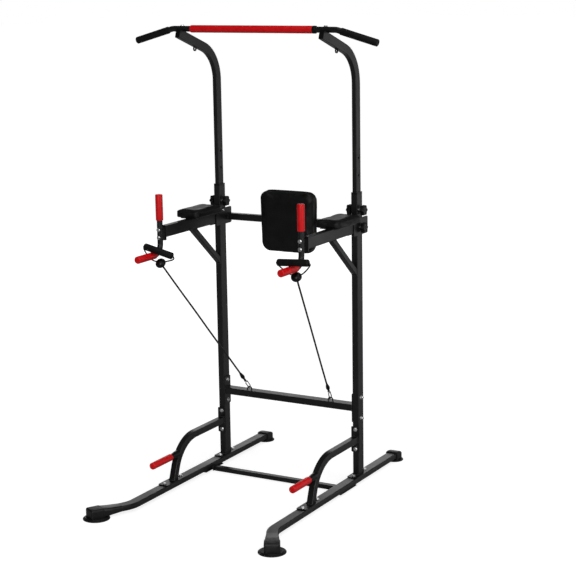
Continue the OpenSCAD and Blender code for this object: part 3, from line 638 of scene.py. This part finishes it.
BAR_R, GRIP_R = 12.5, 16.0
BAR_Y, BAR_Z = 12, 2028
PEG_Y, PEG_Z, PEG_R = -184, 152, 11.0
PEG_COLLAR = [(0, PEG_R, 0), (0, 12.6, 0.8), (12, 12.6, 3), (42, 16.5, 2), (60, 16.5, 0), (60, PEG_R, 0)]
grips = [foam("center_grip_foam", at(-305, BAR_Y, BAR_Z), (1, 0, 0), 596, GRIP_R, BAR_R, "upper_frame",
              "red_foam", "center_grip", red_foam)]
collar = foam_sleeve(at(291, BAR_Y, BAR_Z), Vector((1, 0, 0)), 14 * MM, 16.4 * MM, BAR_R * MM, edge=1.5 * MM)
show(make_mesh("center_grip_collar", *collar), "upper_frame", "black_plastic", ["center_grip"], moulded)
for side, k in SIDES.items():
    dip = math.radians(15.5)
    outward = Vector((k * math.cos(dip), 0, -math.sin(dip)))
    grips += [
        foam(f"end_grip_{side}", at(k * 400, BAR_Y, BAR_Z) + outward * 22 * MM, outward, 173, 15.2, BAR_R,
             "upper_frame", "black_foam", "end_grips", black_foam, closed_end=True),
        foam(f"dip_grip_{side}", at(k * 347, -215, 1225), (0, 0, 1), 112, GRIP_R, BAR_R, "frame", "red_foam",
             "dip_grips", red_foam, closed_end=True),
        foam(f"low_grip_{side}", at(k * 347, -260, 1080), (0, -1, 0), 132, GRIP_R, BAR_R, "frame", "red_foam",
             "low_grips", red_foam, closed_end=True),
        foam(f"push_up_grip_{side}", at(k * 350, PEG_Y, PEG_Z), (0, -1, 0), 146, 15.5, PEG_R, "frame",
             "red_foam", "pushup_grips", red_foam, closed_end=True)]
    cone = [(p.x * MM, p.y * MM) for p in filleted(PEG_COLLAR, 4)]
    flare = lathe(cone, at(k * 350, PEG_Y, PEG_Z), (0, 1, 0), ring=True)
    show(make_mesh(f"push_up_collar_{side}", *flare), "frame", "black_plastic", ["pushup_grips"], moulded)
print("grips:", len(grips))

# %% [markdown]
# ## Knobs and pins
#
# Six lobes give a hand something to turn. The outline is a circle with a wave on it, and
# the knob is that outline stacked up with its edges drawn in, and a shallow dish in its
# face. A deeper recess on the inner side makes room for the weld nut when a pin goes in.
# The steel pin or screw in it is a turned piece of its own, because it is zinc.

# %% Stacked outlines
def stacked(stations, origin, across, up, along):
    """Closed outlines with as many points each, stacked along a line, closed at the ends."""
    points, faces, count = [], [], len(stations[0][1])
    for far, outline in stations:
        points += [origin + (across * p[0] + up * p[1] + along * far) * MM for p in outline]
    for row in range(len(stations) - 1):
        a, b = row * count, (row + 1) * count
        faces += [[a + k, a + (k + 1) % count, b + (k + 1) % count, b + k] for k in range(count)]
    for row, (far, outline) in ((0, stations[0]), (len(stations) - 1, stations[-1])):
        middle = sum((Vector(p) for p in outline), Vector((0, 0))) / count
        points.append(origin + (across * middle.x + up * middle.y + along * far) * MM)
        faces += [[row * count + k, row * count + (k + 1) % count, len(points) - 1] for k in range(count)]
    return points, faces


KNOB_TURNS = [2 * math.pi * k / 72 for k in range(72)]


def lobes(scale=1.0, inset=0.0):
    return [((21 + 3 * math.cos(6 * a) - inset) * scale * math.cos(a),
             (21 + 3 * math.cos(6 * a) - inset) * scale * math.sin(a)) for a in KNOB_TURNS]


def disc(radius):
    return [(radius * math.cos(a), radius * math.sin(a)) for a in KNOB_TURNS]


def knob(name, body, face, outward, screw):
    """A knob whose inner face is at `face`, and its screw from `screw` mm on its inner side."""
    way = Vector((outward, 0, 0))
    recess = [(7.4, disc(3)), (7.4, disc(10)), (0, disc(10.2)), (0, disc(12))]
    grip = [(0, lobes(0.8)), (0.6, lobes(inset=1.6)), (2.2, lobes()), (16.5, lobes()),
            (18.7, lobes(inset=0.9)), (20, lobes(inset=3.2))]
    dish = [(20, disc(14.5)), (18.8, disc(13.2)), (18.6, disc(6.5)), (19.6, disc(5.5)), (19.8, disc(3))]
    shape = stacked(recess + grip + dish, face, Vector((0, 1, 0)), Vector((0, 0, 1)), way)
    show(make_mesh(name, *shape, sharp=35), body, "black_plastic", [body], moulded)
    turned = [(-screw, 0), (-screw, 4.0), (-screw + 1.2, 5.0), (2, 5.0), (2, 0)]
    pin = lathe([(x * MM, r * MM) for x, r in turned], face, way, steps=28)
    show(make_mesh(name + "_screw", *pin), body, "zinc_steel", [body], bright_zinc)


UPRIGHT_X, UPRIGHT_Y = 350, 282
PIN_Z, ARM_KNOB_Z = 1243, 1167
for side, k in SIDES.items():
    knob(f"pin_knob_{side}", f"height_pin_{side}", at(k * 373, UPRIGHT_Y, PIN_Z), k, 11.6)
    knob(f"inner_knob_{side}", f"clamp_knob_{side}", at(k * 327, UPRIGHT_Y, PIN_Z), -k, 11.7)
    knob(f"bracket_knob_{side}", f"arm_knob_{side}", at(k * 375, UPRIGHT_Y, ARM_KNOB_Z), k, 12.0)

# %% [markdown]
# ## Rubber feet
#
# A foot is a round rubber base, stepped like a washer, under a thick rubber cap that grips
# the end of the rail. The cap is a rounded box, stacked from rounded outlines with the end
# drawn in. The base is turned. Each front rail also has a steel end that widens towards
# its cap, made with the same stack.

# %% Feet
def rounded_box(width, height, radius, inset=0.0, middle=0.0):
    x, y, r = width / 2 - inset, height / 2 - inset, max(radius - inset, 0.6)
    return [(p.x, p.y + middle) for p in filleted([(-x, -y, r), (x, -y, r), (x, y, r), (-x, y, r)], 6)]


BOX_CORNER = 9


def sleeve_shape(sections, centre, along):
    """A box-shaped sleeve through the sections, with an eased mouth and a rounded far end."""
    far, *last = sections[-1]
    rows = [(sections[0][0] - 1.2, *sections[0][1:], 1.2)] + [(*section, 0.0) for section in sections]
    rows += [(far + deep, *last, inset) for deep, inset in ((2.5, 0.6), (4.6, 2.0), (6.2, 4.4), (7.0, 7.6))]
    stations = [(where, rounded_box(width, high - low, BOX_CORNER, inset, (low + high) / 2))
                for where, width, low, high, inset in rows]
    return stacked(stations, centre, along.cross(Vector((0, 0, 1))), Vector((0, 0, 1)), along)


def foot(name, node, centre, along, wide, step, sections):
    """A turned base, and a cap whose sections are (mm along, width, low, high)."""
    if step:
        base = [(0, 0), (0, wide - 1.5), (0.8, wide), (3.6, wide), (5.0, wide - 1.5), (5.6, wide - 4),
                (6.0, step + 1.5), (6.6, step), (8.2, step), (9, step - 1), (9, 0)]
    else:
        base = [(0, 0), (0, wide - 1.2), (0.8, wide), (4.6, wide), (6, wide - 1.6), (6, 0)]
    turned_base = lathe([(z * MM, r * MM) for z, r in base], centre, (0, 0, 1), steps=72)
    show(make_mesh(name, *joined([turned_base, sleeve_shape(sections, centre, along)]), sharp=32), "frame",
         "foot_rubber", [node], rubber)


FRONT_CAP = [(-24, 65, 1, 47.5), (-19, 66, 0, 48), (29, 66, 0, 48)]
STEEL_END = [(-112, 51.4, 14.4, 40.6), (-62, 58, 11, 43), (-20, 64, 6, 46.5)]
REAR_CAP = [(-28, 60, 2, 45), (-22, 62, 0, 46), (-10, 61, 0, 46), (4, 61, 0, 44), (17, 60, 0, 40)]
splay = math.atan2(80, 143)
for side, k in SIDES.items():
    outward, front_foot = Vector((k * math.sin(splay), -math.cos(splay), 0)), at(k * 430, -640, 0)
    foot(f"front_rubber_foot_{side}", f"foot_front_{side}", front_foot, outward, 58, 50, FRONT_CAP)
    show(make_mesh(f"front_rail_end_{side}", *sleeve_shape(STEEL_END, front_foot, outward), sharp=32),
         "frame", "frame_steel", [f"foot_front_{side}"], powder_coat)
    foot(f"rear_rubber_foot_{side}", f"foot_rear_{side}", at(k * UPRIGHT_X, 656, 0), Vector((0, 1, 0)), 42, 0,
         REAR_CAP)

# %% [markdown]
# ## Bolts, nuts and screws
#
# The same few fasteners turn up all over the frame, so each shape is made once and a
# Geometry Nodes tree sets it on points. Every point says which way the fastener faces and
# how long it is. The tree gives each one its own small turn, from a fixed seed, because
# nobody tightens bolts to the same angle. Its result becomes a plain mesh for each body.

# %% A tree that sets a shape on points
def new_tree(name, inputs):
    tree = bpy.data.node_groups.new(name, "GeometryNodeTree")
    tree.interface.new_socket("Geometry", in_out="INPUT", socket_type="NodeSocketGeometry")
    for label, kind in inputs:
        tree.interface.new_socket(label, in_out="INPUT", socket_type="NodeSocket" + kind)
    tree.interface.new_socket("Geometry", in_out="OUTPUT", socket_type="NodeSocketGeometry")
    return tree, tree.nodes.new("NodeGroupInput").outputs, tree.nodes.new("NodeGroupOutput").inputs


def end_tree(tree, instances, given, result):
    real = add(tree, "GeometryNodeRealizeInstances", {"Geometry": instances})
    painted = add(tree, "GeometryNodeSetMaterial", {"Geometry": real.outputs[0], "Material": given["Finish"]})
    tree.links.new(painted.outputs[0], result["Geometry"])


set_on_points, given, result = new_tree(
    "set_on_points", [("Shape", "Object"), ("Size", "Float"), ("Turn seed", "Int"), ("Finish", "Material")])
shape = add(set_on_points, "GeometryNodeObjectInfo", {"Object": given["Shape"]})
facing = add(set_on_points, "GeometryNodeInputNamedAttribute", Name="facing", data_type="FLOAT_VECTOR")
stretch = add(set_on_points, "GeometryNodeInputNamedAttribute", Name="stretch", data_type="FLOAT_VECTOR")
aim = add(set_on_points, "FunctionNodeAlignRotationToVector", {"Vector": facing.outputs["Attribute"]},
          axis="Z")
turn_by = add(set_on_points, "FunctionNodeRandomValue", {"Seed": given["Turn seed"]}, data_type="FLOAT")
angle = math_node(set_on_points, "MULTIPLY", turn_by.outputs[1], 2 * math.pi)
spin = add(set_on_points, "ShaderNodeCombineXYZ", {"Z": angle})
spin_rotation = add(set_on_points, "FunctionNodeEulerToRotation", {"Euler": spin.outputs[0]})
both_turns = add(set_on_points, "FunctionNodeRotateRotation",
                 {"Rotation": aim.outputs[0], "Rotate By": spin_rotation.outputs[0]}, rotation_space="LOCAL")
scaled = add(set_on_points, "ShaderNodeVectorMath",
             {"Vector": stretch.outputs["Attribute"], "Scale": given["Size"]}, operation="SCALE")
placed = add(set_on_points, "GeometryNodeInstanceOnPoints",
             {"Points": given["Geometry"], "Instance": shape.outputs["Geometry"],
              "Rotation": both_turns.outputs[0], "Scale": scaled.outputs[0]})
end_tree(set_on_points, placed.outputs[0], given, result)


def grown(name, points, edges, tree, attributes=None, **values):
    """The mesh that a tree makes from points and edges."""
    seed = bpy.data.meshes.new(name + "_seed")
    seed.from_pydata([tuple(p) for p in points], edges, [])
    for label, rows in (attributes or {}).items():
        layer = seed.attributes.new(label, "FLOAT_VECTOR", "POINT")
        layer.data.foreach_set("vector", np.array(rows, np.float32).ravel())
    carrier = bpy.data.objects.new(name + "_seed", seed)
    bpy.context.scene.collection.objects.link(carrier)
    modifier = carrier.modifiers.new("grow", "NODES")
    modifier.node_group = tree
    sockets = {s.name: s.identifier for s in tree.interface.items_tree if s.in_out == "INPUT"}
    for label, value in values.items():
        modifier[sockets[label.replace("_", " ")]] = value
    ready = carrier.evaluated_get(bpy.context.evaluated_depsgraph_get())
    mesh = bpy.data.meshes.new_from_object(ready)
    mesh.name = name
    bpy.data.objects.remove(carrier)
    return mesh


CREASE = 30


def template(name, parts):
    piece = make_mesh(name, *joined(parts), sharp=CREASE)
    piece.hide_render = True
    return piece


def turned(profile, steps=20):
    return lathe([(z * MM, r * MM) for z, r in profile], (0, 0, 0), (0, 0, 1), steps=steps)


WASHER = turned([(0, 0), (0, 8.6), (0.3, 9.0), (0.9, 9.0), (1.2, 8.6), (1.2, 0)], 28)
HEAD = turned([(0.8, 0), (0.8, 7.4), (4.3, 7.4), (5.0, 6.5), (5.0, 0)], 6)
NUT_BASE = turned([(0.8, 0), (0.8, 7.4), (5.6, 7.4), (6.2, 6.7), (6.2, 0)], 6)
NUT_DOME = turned([(6, 6.1), (9, 5.9), (11.4, 4.6), (13.1, 2.6), (13.6, 0), (6, 0)])
PLAIN_NUT = turned([(0, 0), (0, 6.6), (0.6, 7.4), (6.2, 7.4), (6.8, 6.6), (6.8, 0)], 6)
METRE_SHANK = turned([(0, 0), (0, 3.9), (1000, 3.9), (1000, 0)], 14)
ROUND_HEAD = turned([(0, 0), (0, 5.8), (1.6, 5.2), (3.0, 3.6), (3.4, 1.8), (2.4, 1.6), (2.4, 0)])
fasteners = {name: template(name, parts) for name, parts in (
    ("hex_head", [WASHER, HEAD]), ("cap_nut", [WASHER, NUT_BASE, NUT_DOME]), ("plain_nut", [PLAIN_NUT]),
    ("shank", [METRE_SHANK]), ("screw_head", [ROUND_HEAD]))}
print("fastener shapes:", list(fasteners))

# %% [markdown]
# The list below gives where each fastener goes. A row is a shape, the point where it sits, the way that its
# head faces, and the length of its shank behind it.

# %% Where each fastener sits
def both(x, y, z, facing, length=0.0, shape="hex_head"):
    return [(shape, at(k * x, y, z), Vector((k * facing[0], facing[1], facing[2])), length) for k in (-1, 1)]


X, Y, Z = (1, 0, 0), (0, 1, 0), (0, 0, 1)
IN, FRONT, DOWN = (-1, 0, 0), (0, -1, 0), (0, 0, -1)
BEAM_Z = 1165
frame_fasteners, frame_nut_list = [], []
for y in (235, 344, -238, -111):
    frame_fasteners += both(350, y, 44, Z, 34.5)
    frame_nut_list += both(350, y, 15, DOWN, shape="plain_nut")
for y in (77, 197):
    frame_fasteners += both(350, y, 11, DOWN, 24)
for z in (165, 255):
    frame_fasteners += both(UPRIGHT_X, 253, z, FRONT, 61)
    frame_nut_list += both(UPRIGHT_X, 307, z, Y, shape="cap_nut")
for z in (304, 400):
    frame_fasteners += both(331, UPRIGHT_Y, z, IN, 40)
    frame_nut_list += both(365, UPRIGHT_Y, z, X, shape="cap_nut")
for z in (1150, 1184):
    frame_fasteners += both(347, -227.6, z, FRONT, 38)
frame_fasteners += both(331, UPRIGHT_Y, 1201, IN, 5.5, "screw_head")
frame_fasteners += both(369, 334, BEAM_Z, X, 50) + both(80, 349, BEAM_Z, Y, 38)
for x in (318, 382):
    for y in (40, 175):
        frame_fasteners += both(x, y, 1197, DOWN, 12, "screw_head")
top_fasteners = both(350, 12, 2040.4, Z, 36)


def fasten(name, rows, body, node):
    meshes = []
    for shape in fasteners:
        chosen = [r for r in rows if r[0] == shape] if shape != "shank" else [r for r in rows if r[3]]
        if not chosen:
            continue
        way = [r[2] if shape != "shank" else -r[2] for r in chosen]
        stretch = [(1, 1, r[3] * MM) if shape == "shank" else (1, 1, 1) for r in chosen]
        meshes.append(grown(f"{name}_{shape}", [r[1] for r in chosen], [], set_on_points,
                            {"facing": way, "stretch": stretch}, Shape=fasteners[shape], Size=1.0,
                            Turn_seed=7, Finish=bright_zinc))
    work = bmesh.new()
    for mesh in meshes:
        work.from_mesh(mesh)
    whole = bpy.data.meshes.new(name)
    work.to_mesh(whole)
    whole.materials.append(bright_zinc)
    whole.shade_smooth()
    whole.set_sharp_from_angle(angle=math.radians(CREASE))
    piece = bpy.data.objects.new(name, whole)
    bpy.context.scene.collection.objects.link(piece)
    return show(piece, body, "zinc_steel", [node])


fasten("machine_bolts", frame_fasteners, "frame", "frame_bolts")
fasten("machine_nuts", frame_nut_list, "frame", "frame_nuts")
fasten("bar_bolts", top_fasteners, "upper_frame", "upper_bolts")
for piece in fasteners.values():
    bpy.data.objects.remove(piece)

# %% [markdown]
# ## Weld beads
#
# Each tube is welded all round where it meets a plate. A weld is a row of small overlapping
# puddles, so the second tree walks along a line and sets a squashed drop at an even
# spacing, with a little change in size. The lines are rounded rectangles round the tubes.

# %% A tree that sets a shape along a line
set_along, given, result = new_tree(
    "set_along", [("Shape", "Object"), ("Spacing", "Float"), ("Size wander", "Float"), ("Seed", "Int"),
                  ("Finish", "Material")])
shape = add(set_along, "GeometryNodeObjectInfo", {"Object": given["Shape"]})
curve = add(set_along, "GeometryNodeMeshToCurve", {"Mesh": given["Geometry"]})
walked = add(set_along, "GeometryNodeResampleCurve", {"Curve": curve.outputs[0], "Length": given["Spacing"]},
             mode="LENGTH")
tangent = add(set_along, "GeometryNodeInputTangent")
aim = add(set_along, "FunctionNodeAlignRotationToVector", {"Vector": tangent.outputs[0]}, axis="Z")
least = math_node(set_along, "SUBTRACT", 1.0, given["Size wander"])
most = math_node(set_along, "ADD", 1.0, given["Size wander"])
size = add(set_along, "FunctionNodeRandomValue", {"Seed": given["Seed"]}, data_type="FLOAT")
set_along.links.new(least, size.inputs[2])
set_along.links.new(most, size.inputs[3])
placed = add(set_along, "GeometryNodeInstanceOnPoints",
             {"Points": walked.outputs[0], "Instance": shape.outputs["Geometry"], "Rotation": aim.outputs[0],
              "Scale": size.outputs[1]})
end_tree(set_along, placed.outputs[0], given, result)


def weld_line(centre, across, up, width, height):
    """A rounded rectangle round a tube, in millimetres about a centre."""
    across, up = Vector(across), Vector(up)
    outline = rounded_box(width + 1, height + 1, 3.5)
    return [centre + (across * x + up * y) * MM for x, y in outline]


weld_lines = []
for k in (-1, 1):
    weld_lines += [
        weld_line(at(k * 350, 282, 44.6), X, Y, 30, 50), weld_line(at(k * 350, -166.1, 44.6), X, Y, 30, 32),
        weld_line(at(k * 350, 252.4, 210), X, Z, 30, 30), weld_line(at(k * 350, 48, 1146.4), X, Y, 25, 38.8),
        weld_line(at(k * 350, 256.4, 971), X, Z, 25, 32.7), weld_line(at(k * 330.4, 282, 352), Y, Z, 50, 30),
        weld_line(at(k * 322.4, 137, 14), Y, Z, 30, 20), weld_line(at(k * 350, -187.4, 1172), X, Z, 30, 50),
        weld_line(at(k * 331, 334, 1165), Y, Z, 30, 30)]
bead = template("bead", [turned([(-1.9, 0), (-1.3, 1.05), (0, 1.6), (1.3, 1.05), (1.9, 0)], 8)])
points, edges = [], []
for line in weld_lines:
    start, count = len(points), len(line)
    points += line
    edges += [(start + i, start + (i + 1) % count) for i in range(count)]
bead_mesh = grown("weld_beads", points, edges, set_along, Shape=bead, Spacing=2.3 * MM, Size_wander=0.12,
                  Seed=3, Finish=powder_coat)
welds = bpy.data.objects.new("weld_beads", bead_mesh)
bpy.context.scene.collection.objects.link(welds)
welds.data.shade_smooth()
show(welds, "frame", "frame_steel", material=powder_coat)
bpy.data.objects.remove(bead)

# %% [markdown]
# ## Pads
#
# A pad is foam on a board under stretched vinyl. The cover pulls the edges round and lets
# the middle crown a little. Cloth simulation makes that swell: an even mesh of the slab,
# held at its board, takes pressure from inside for twenty frames, and no point may move
# further than a few millimetres. The result is then subdivided once. After that come the
# small pleats, which gather the vinyl at the corners where it turns behind the board.

# %% A stuffed slab
CLOTH_MESH, CLOTH_PRESSURE, CLOTH_FRAMES = 5 * MM, 4.0, 20


def stuffed(name, shape, held, most):
    """A slab that swells by up to `most` mm under pressure, while its `held` points stay."""
    piece = make_mesh(name, *shape)
    even = piece.modifiers.new("even", "REMESH")
    even.mode, even.voxel_size = "VOXEL", CLOTH_MESH
    mesh = bpy.data.meshes.new_from_object(piece.evaluated_get(bpy.context.evaluated_depsgraph_get()))
    piece.modifiers.clear()
    piece.data = mesh
    rest = np.array([v.co for v in mesh.vertices])
    group = piece.vertex_groups.new(name="held")
    group.add([i for i, p in enumerate(rest) if held(p)], 1.0, "REPLACE")
    cover = piece.modifiers.new("cover", "CLOTH")
    cover.settings.use_pressure = True
    cover.settings.uniform_pressure_force = CLOTH_PRESSURE
    cover.settings.vertex_group_mass = "held"
    cover.settings.effector_weights.gravity = 0
    for step in range(1, CLOTH_FRAMES + 1):
        bpy.context.scene.frame_set(step)
    ready = piece.evaluated_get(bpy.context.evaluated_depsgraph_get())
    move = np.array([v.co for v in ready.data.vertices]) - rest
    size = np.linalg.norm(move, axis=1, keepdims=True)
    move *= np.minimum(1.0, most * MM / np.maximum(size, 1e-9))
    piece.modifiers.clear()
    piece.vertex_groups.clear()
    mesh.vertices.foreach_set("co", (rest + move).ravel())
    bpy.context.scene.frame_set(1)
    print(name, "swelled by up to", round(float(np.linalg.norm(move, axis=1).max()) / MM, 1), "mm")
    finer = piece.modifiers.new("finer", "SUBSURF")
    finer.levels = finer.render_levels = 1
    mesh = bpy.data.meshes.new_from_object(piece.evaluated_get(bpy.context.evaluated_depsgraph_get()))
    piece.modifiers.clear()
    piece.data = mesh
    mesh.shade_smooth()
    ends = np.array([v.co for v in mesh.vertices])
    print(name, "reaches from", ends.min(0).round(4), "to", ends.max(0).round(4))
    return piece


PLEATS, PLEAT_DEPTH = 7, 0.8 * MM


def pleat(piece, centre, flat, corner, band):
    """Small folds in the sides at the corners. flat gives the two axes along the pad, corner
    where its corners start from, and band the range across its thickness."""
    mesh, (u, v), (low, high, axis) = piece.data, flat, band
    normals = [n.vector.copy() for n in mesh.vertex_normals]
    for vertex, normal in zip(mesh.vertices, normals):
        p = vertex.co
        a, b = abs(p[u] - centre[0]) - corner[0], abs(p[v] - centre[1]) - corner[1]
        if a <= 0 or b <= 0 or not low < p[axis] < high:
            continue
        turn = math.atan2(b, a) / (math.pi / 2)
        fade = math.sin(math.pi * (p[axis] - low) / (high - low)) * math.sin(math.pi * turn) ** 0.5
        vertex.co = p - normal * (PLEAT_DEPTH * fade * 0.5 * (1 - math.cos(2 * math.pi * PLEATS * turn)))


# %% Back pad
def back_outline(inset):
    x, top, low = 139 - inset, 136.5 - inset, -141.5 + inset
    return [(p.x, p.y) for p in filleted([(-x + 6, low, 46 - inset), (x - 6, low, 46 - inset),
                                          (x, top, 36 - inset), (-x, top, 36 - inset)], 10)]


back_stations = [(depth, back_outline(inset)) for depth, inset in
                 ((0.3, 3), (2, 1), (5, 0), (31, 0), (37, 1.2), (40.5, 4), (42, 9))]
BACK_CENTRE = at(0, 316, 1167)
back_shape = stacked(back_stations, BACK_CENTRE, Vector(X), Vector(Z), Vector(FRONT))
back_cushion = stuffed("back_cushion", back_shape, lambda p: p[1] > 0.3125, 4.5)
pleat(back_cushion, (0, 1.167), (0, 2), (0.092, 0.094), (0.284, 0.313, 1))

# %% Arm pads
arm_stations = [(height, rounded_box(119, 213, 21, inset)) for height, inset in
                ((0.4, 2), (2, 0.6), (4, 0), (24, 0), (28.5, 1.2), (31, 3.5), (32.2, 8))]
arm_centre = {side: at(k * UPRIGHT_X, 107, 1202) for side, k in SIDES.items()}
arm_cushions = {}
for side, k in SIDES.items():
    shape = stacked(arm_stations, arm_centre[side], Vector(X), Vector(Y), Vector(Z))
    pad = arm_cushions[side] = stuffed(f"arm_cushion_{side}", shape, lambda p: p[2] < 1.2055, 3.5)
    pleat(pad, (k * 0.350, 0.107), (0, 1), (0.038, 0.085), (1.204, 1.228, 2))

# %% [markdown]
# ## Seams
#
# The front panel of a pad is sewn to its side band. The seam shows as a thin welt that
# stands a little proud, with a row of stitches beside it. Both follow the pad's own
# surface: a ring of rays finds that surface at one depth, and the welt is swept along it.
# The stitches are set along a second ring by the same tree as the weld beads.

# %% Rings on a pad
RING_POINTS, WELT_SIDES = 220, 8


def ring_on(piece, centre, u, v):
    """Points round a pad in one plane, found by rays towards the middle."""
    count = RING_POINTS
    bvh = BVHTree.FromObject(piece, bpy.context.evaluated_depsgraph_get())
    ring = []
    for k in range(count):
        a = 2 * math.pi * k / count
        way = u * math.cos(a) + v * math.sin(a)
        ring.append(bvh.ray_cast(centre + way * 0.4, -way)[0])
    return [(ring[k - 1] + ring[k] * 2 + ring[(k + 1) % count]) / 4 for k in range(count)]


def closed_sweep(name, ring, radius):
    points, faces, count, sides = [], [], len(ring), WELT_SIDES
    middle = sum(ring, Vector()) / count
    for i, p in enumerate(ring):
        heading = (ring[(i + 1) % count] - ring[i - 1]).normalized()
        side = (p - middle) - heading * (p - middle).dot(heading)
        side.normalize()
        other = heading.cross(side)
        for k in range(sides):
            a = 2 * math.pi * k / sides
            points.append(p + radius * (math.cos(a) * side + math.sin(a) * other))
    for i in range(count):
        j = (i + 1) % count
        for k in range(sides):
            n = (k + 1) % sides
            faces.append([i * sides + k, i * sides + n, j * sides + n, j * sides + k])
    return make_mesh(name, points, faces)


def seams(pad, name, centre, u, v, out, welt_at, stitch_at, stitch):
    """A welt and a row of stitches round a pad, each so many mm out from its centre."""
    centre = Vector(centre)
    welt = closed_sweep(f"{name}_welt", ring_on(pad, centre + out * welt_at * MM, u, v), 1.1 * MM)
    show(welt, "frame", "pad_vinyl", material=vinyl)
    ring = ring_on(pad, centre + out * stitch_at * MM, u, v)
    edges = [(i, (i + 1) % len(ring)) for i in range(len(ring))]
    mesh = grown(f"{name}_stitches", ring, edges, set_along, Shape=stitch, Spacing=4.2 * MM, Size_wander=0.05,
                 Seed=5, Finish=thread)
    row = bpy.data.objects.new(f"{name}_stitches", mesh)
    bpy.context.scene.collection.objects.link(row)
    mesh.shade_smooth()
    show(row, "frame", "pad_vinyl", material=thread)


stitch = template("stitch", [turned([(-1.5, 0), (-1.3, 0.35), (0, 0.45), (1.3, 0.35), (1.5, 0)], 6)])
seams(back_cushion, "back_cushion", BACK_CENTRE, Vector(X), Vector(Z), Vector(FRONT), 34, 30.5, stitch)
for side in SIDES:
    seams(arm_cushions[side], f"arm_cushion_{side}", arm_centre[side], Vector(X), Vector(Y), Vector(Z),
          25.5, 22.3, stitch)
bpy.data.objects.remove(stitch)
show(back_cushion, "frame", "pad_vinyl", ["back_pad"], vinyl)
for side in SIDES:
    show(arm_cushions[side], "frame", "pad_vinyl", [f"arm_pad_{side}"], vinyl)

# %% [markdown]
# ## The welded frame
#
# They only need their finish. Each one takes the material of its slot.

# %% Finishes for the measured parts
slot_finish = {"frame_steel": powder_coat, "zinc_steel": bright_zinc, "black_plastic": moulded,
               "foot_rubber": rubber, "board_wood": plywood, "red_foam": red_foam, "black_foam": black_foam,
               "pad_vinyl": vinyl, "cord_sleeve": braid}
slot_of = {row["node"]: row["material_slot"] for row in frame["record"]["subparts"]}
kept = 0
for name, part in nodes.items():
    material = slot_finish[slot_of[name]]
    if part.material_slots:
        for place in part.material_slots:
            place.material = material
    else:
        part.data.materials.append(material)
    kept += not part.hide_render
print("measured parts still shown:", kept)

# %% [markdown]
# ## Floor and light
#
# The floor is a wide pale sheet that runs off into a white room. The room itself gives
# little light, so black pieces stay black. Black steel only reads as steel when something
# bright is reflected in it, so a tall soft light stands behind to the right and a narrow
# one at the side, for the sides of the tubes, and a low wide one stands far behind, for
# the tops of the rails.

# %% Floor
FLOOR_GLOW, ROOM_LIGHT = 0.82, 0.07


def pale_finish(name):
    """Lit for the eye, so that shadows on it stay faint, and duller as a light on other things."""
    material = bpy.data.materials.new(name)
    material.use_nodes = True
    tree = material.node_tree
    surface = tree.nodes["Principled BSDF"]
    surface.inputs["Roughness"].default_value = 0.9
    surface.inputs["Specular IOR Level"].default_value = 0.05
    surface.inputs["Base Color"].default_value = (0.42, 0.42, 0.42, 1)
    surface.inputs["Emission Color"].default_value = (1, 1, 1, 1)
    eye = add(tree, "ShaderNodeLightPath").outputs["Is Camera Ray"]
    tree.links.new(math_node(tree, "MULTIPLY", eye, FLOOR_GLOW), surface.inputs["Emission Strength"])
    return material


ground = bpy.data.meshes.new("studio_floor")
ground.from_pydata([(-40, -40, 0), (40, -40, 0), (40, 60, 0), (-40, 60, 0)], [], [(0, 1, 2, 3)])
ground.materials.append(pale_finish("pale_floor"))
floor = bpy.data.objects.new("studio_floor", ground)
bpy.context.scene.collection.objects.link(floor)
floor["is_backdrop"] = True

# %% Room and lamps
room = bpy.data.worlds.new("white_room")
bpy.context.scene.world = room
room.use_nodes = True
backing = room.node_tree.nodes["Background"]
eye = add(room.node_tree, "ShaderNodeLightPath").outputs["Is Camera Ray"]
power = add(room.node_tree, "ShaderNodeMapRange", {"Value": eye}, To_Min=ROOM_LIGHT, To_Max=1.0)
room.node_tree.links.new(power.outputs["Result"], backing.inputs["Strength"])
backing.inputs["Color"].default_value = (1, 1, 1, 1)
bpy.context.scene.view_settings.view_transform = "Standard"


def lamp(name, kind, place, aim, energy, **settings):
    light = bpy.data.lights.new(name, kind)
    light.energy = energy
    for key, value in settings.items():
        setattr(light, key, value)
    made = bpy.data.objects.new(name, light)
    made.location = place
    made.rotation_mode = "QUATERNION"
    made.rotation_quaternion = (Vector(aim) - Vector(place)).to_track_quat("-Z", "Y")
    bpy.context.scene.collection.objects.link(made)


MIDDLE = (0, 0, 1)
lamp("overhead", "SUN", (1.5, -1.0, 6), MIDDLE, 1.0, angle=math.radians(60))
lamp("front_key", "SUN", (1.6, -4, 2.2), MIDDLE, 1.15, angle=math.radians(35))
lamp("right_softbox", "AREA", (3.0, 3.4, 1.3), MIDDLE, 17, shape="RECTANGLE", size=2.0, size_y=3.4)
lamp("low_rear_softbox", "AREA", (-3.4, 6.0, 1.6), (0, 0, 0), 62, shape="RECTANGLE", size=5.5, size_y=2.4)
lamp("side_strip", "AREA", (4.2, -0.9, 1.6), MIDDLE, 30, shape="RECTANGLE", size=0.5, size_y=3.0)

# %% [markdown]
# ## The size
#
# The dressed model and the measured parts each have a box, and both boxes are printed side by side.
# The dressed model has to stay in the box of the measured parts.

# %% Sizes, and the end
seen_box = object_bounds()
sizes = {"cad": [list(c) for c in cad_box], "visual": [list(c) for c in seen_box]}
print("boxes:", [[round(v, 4) for v in corner] for box in sizes.values() for corner in box])
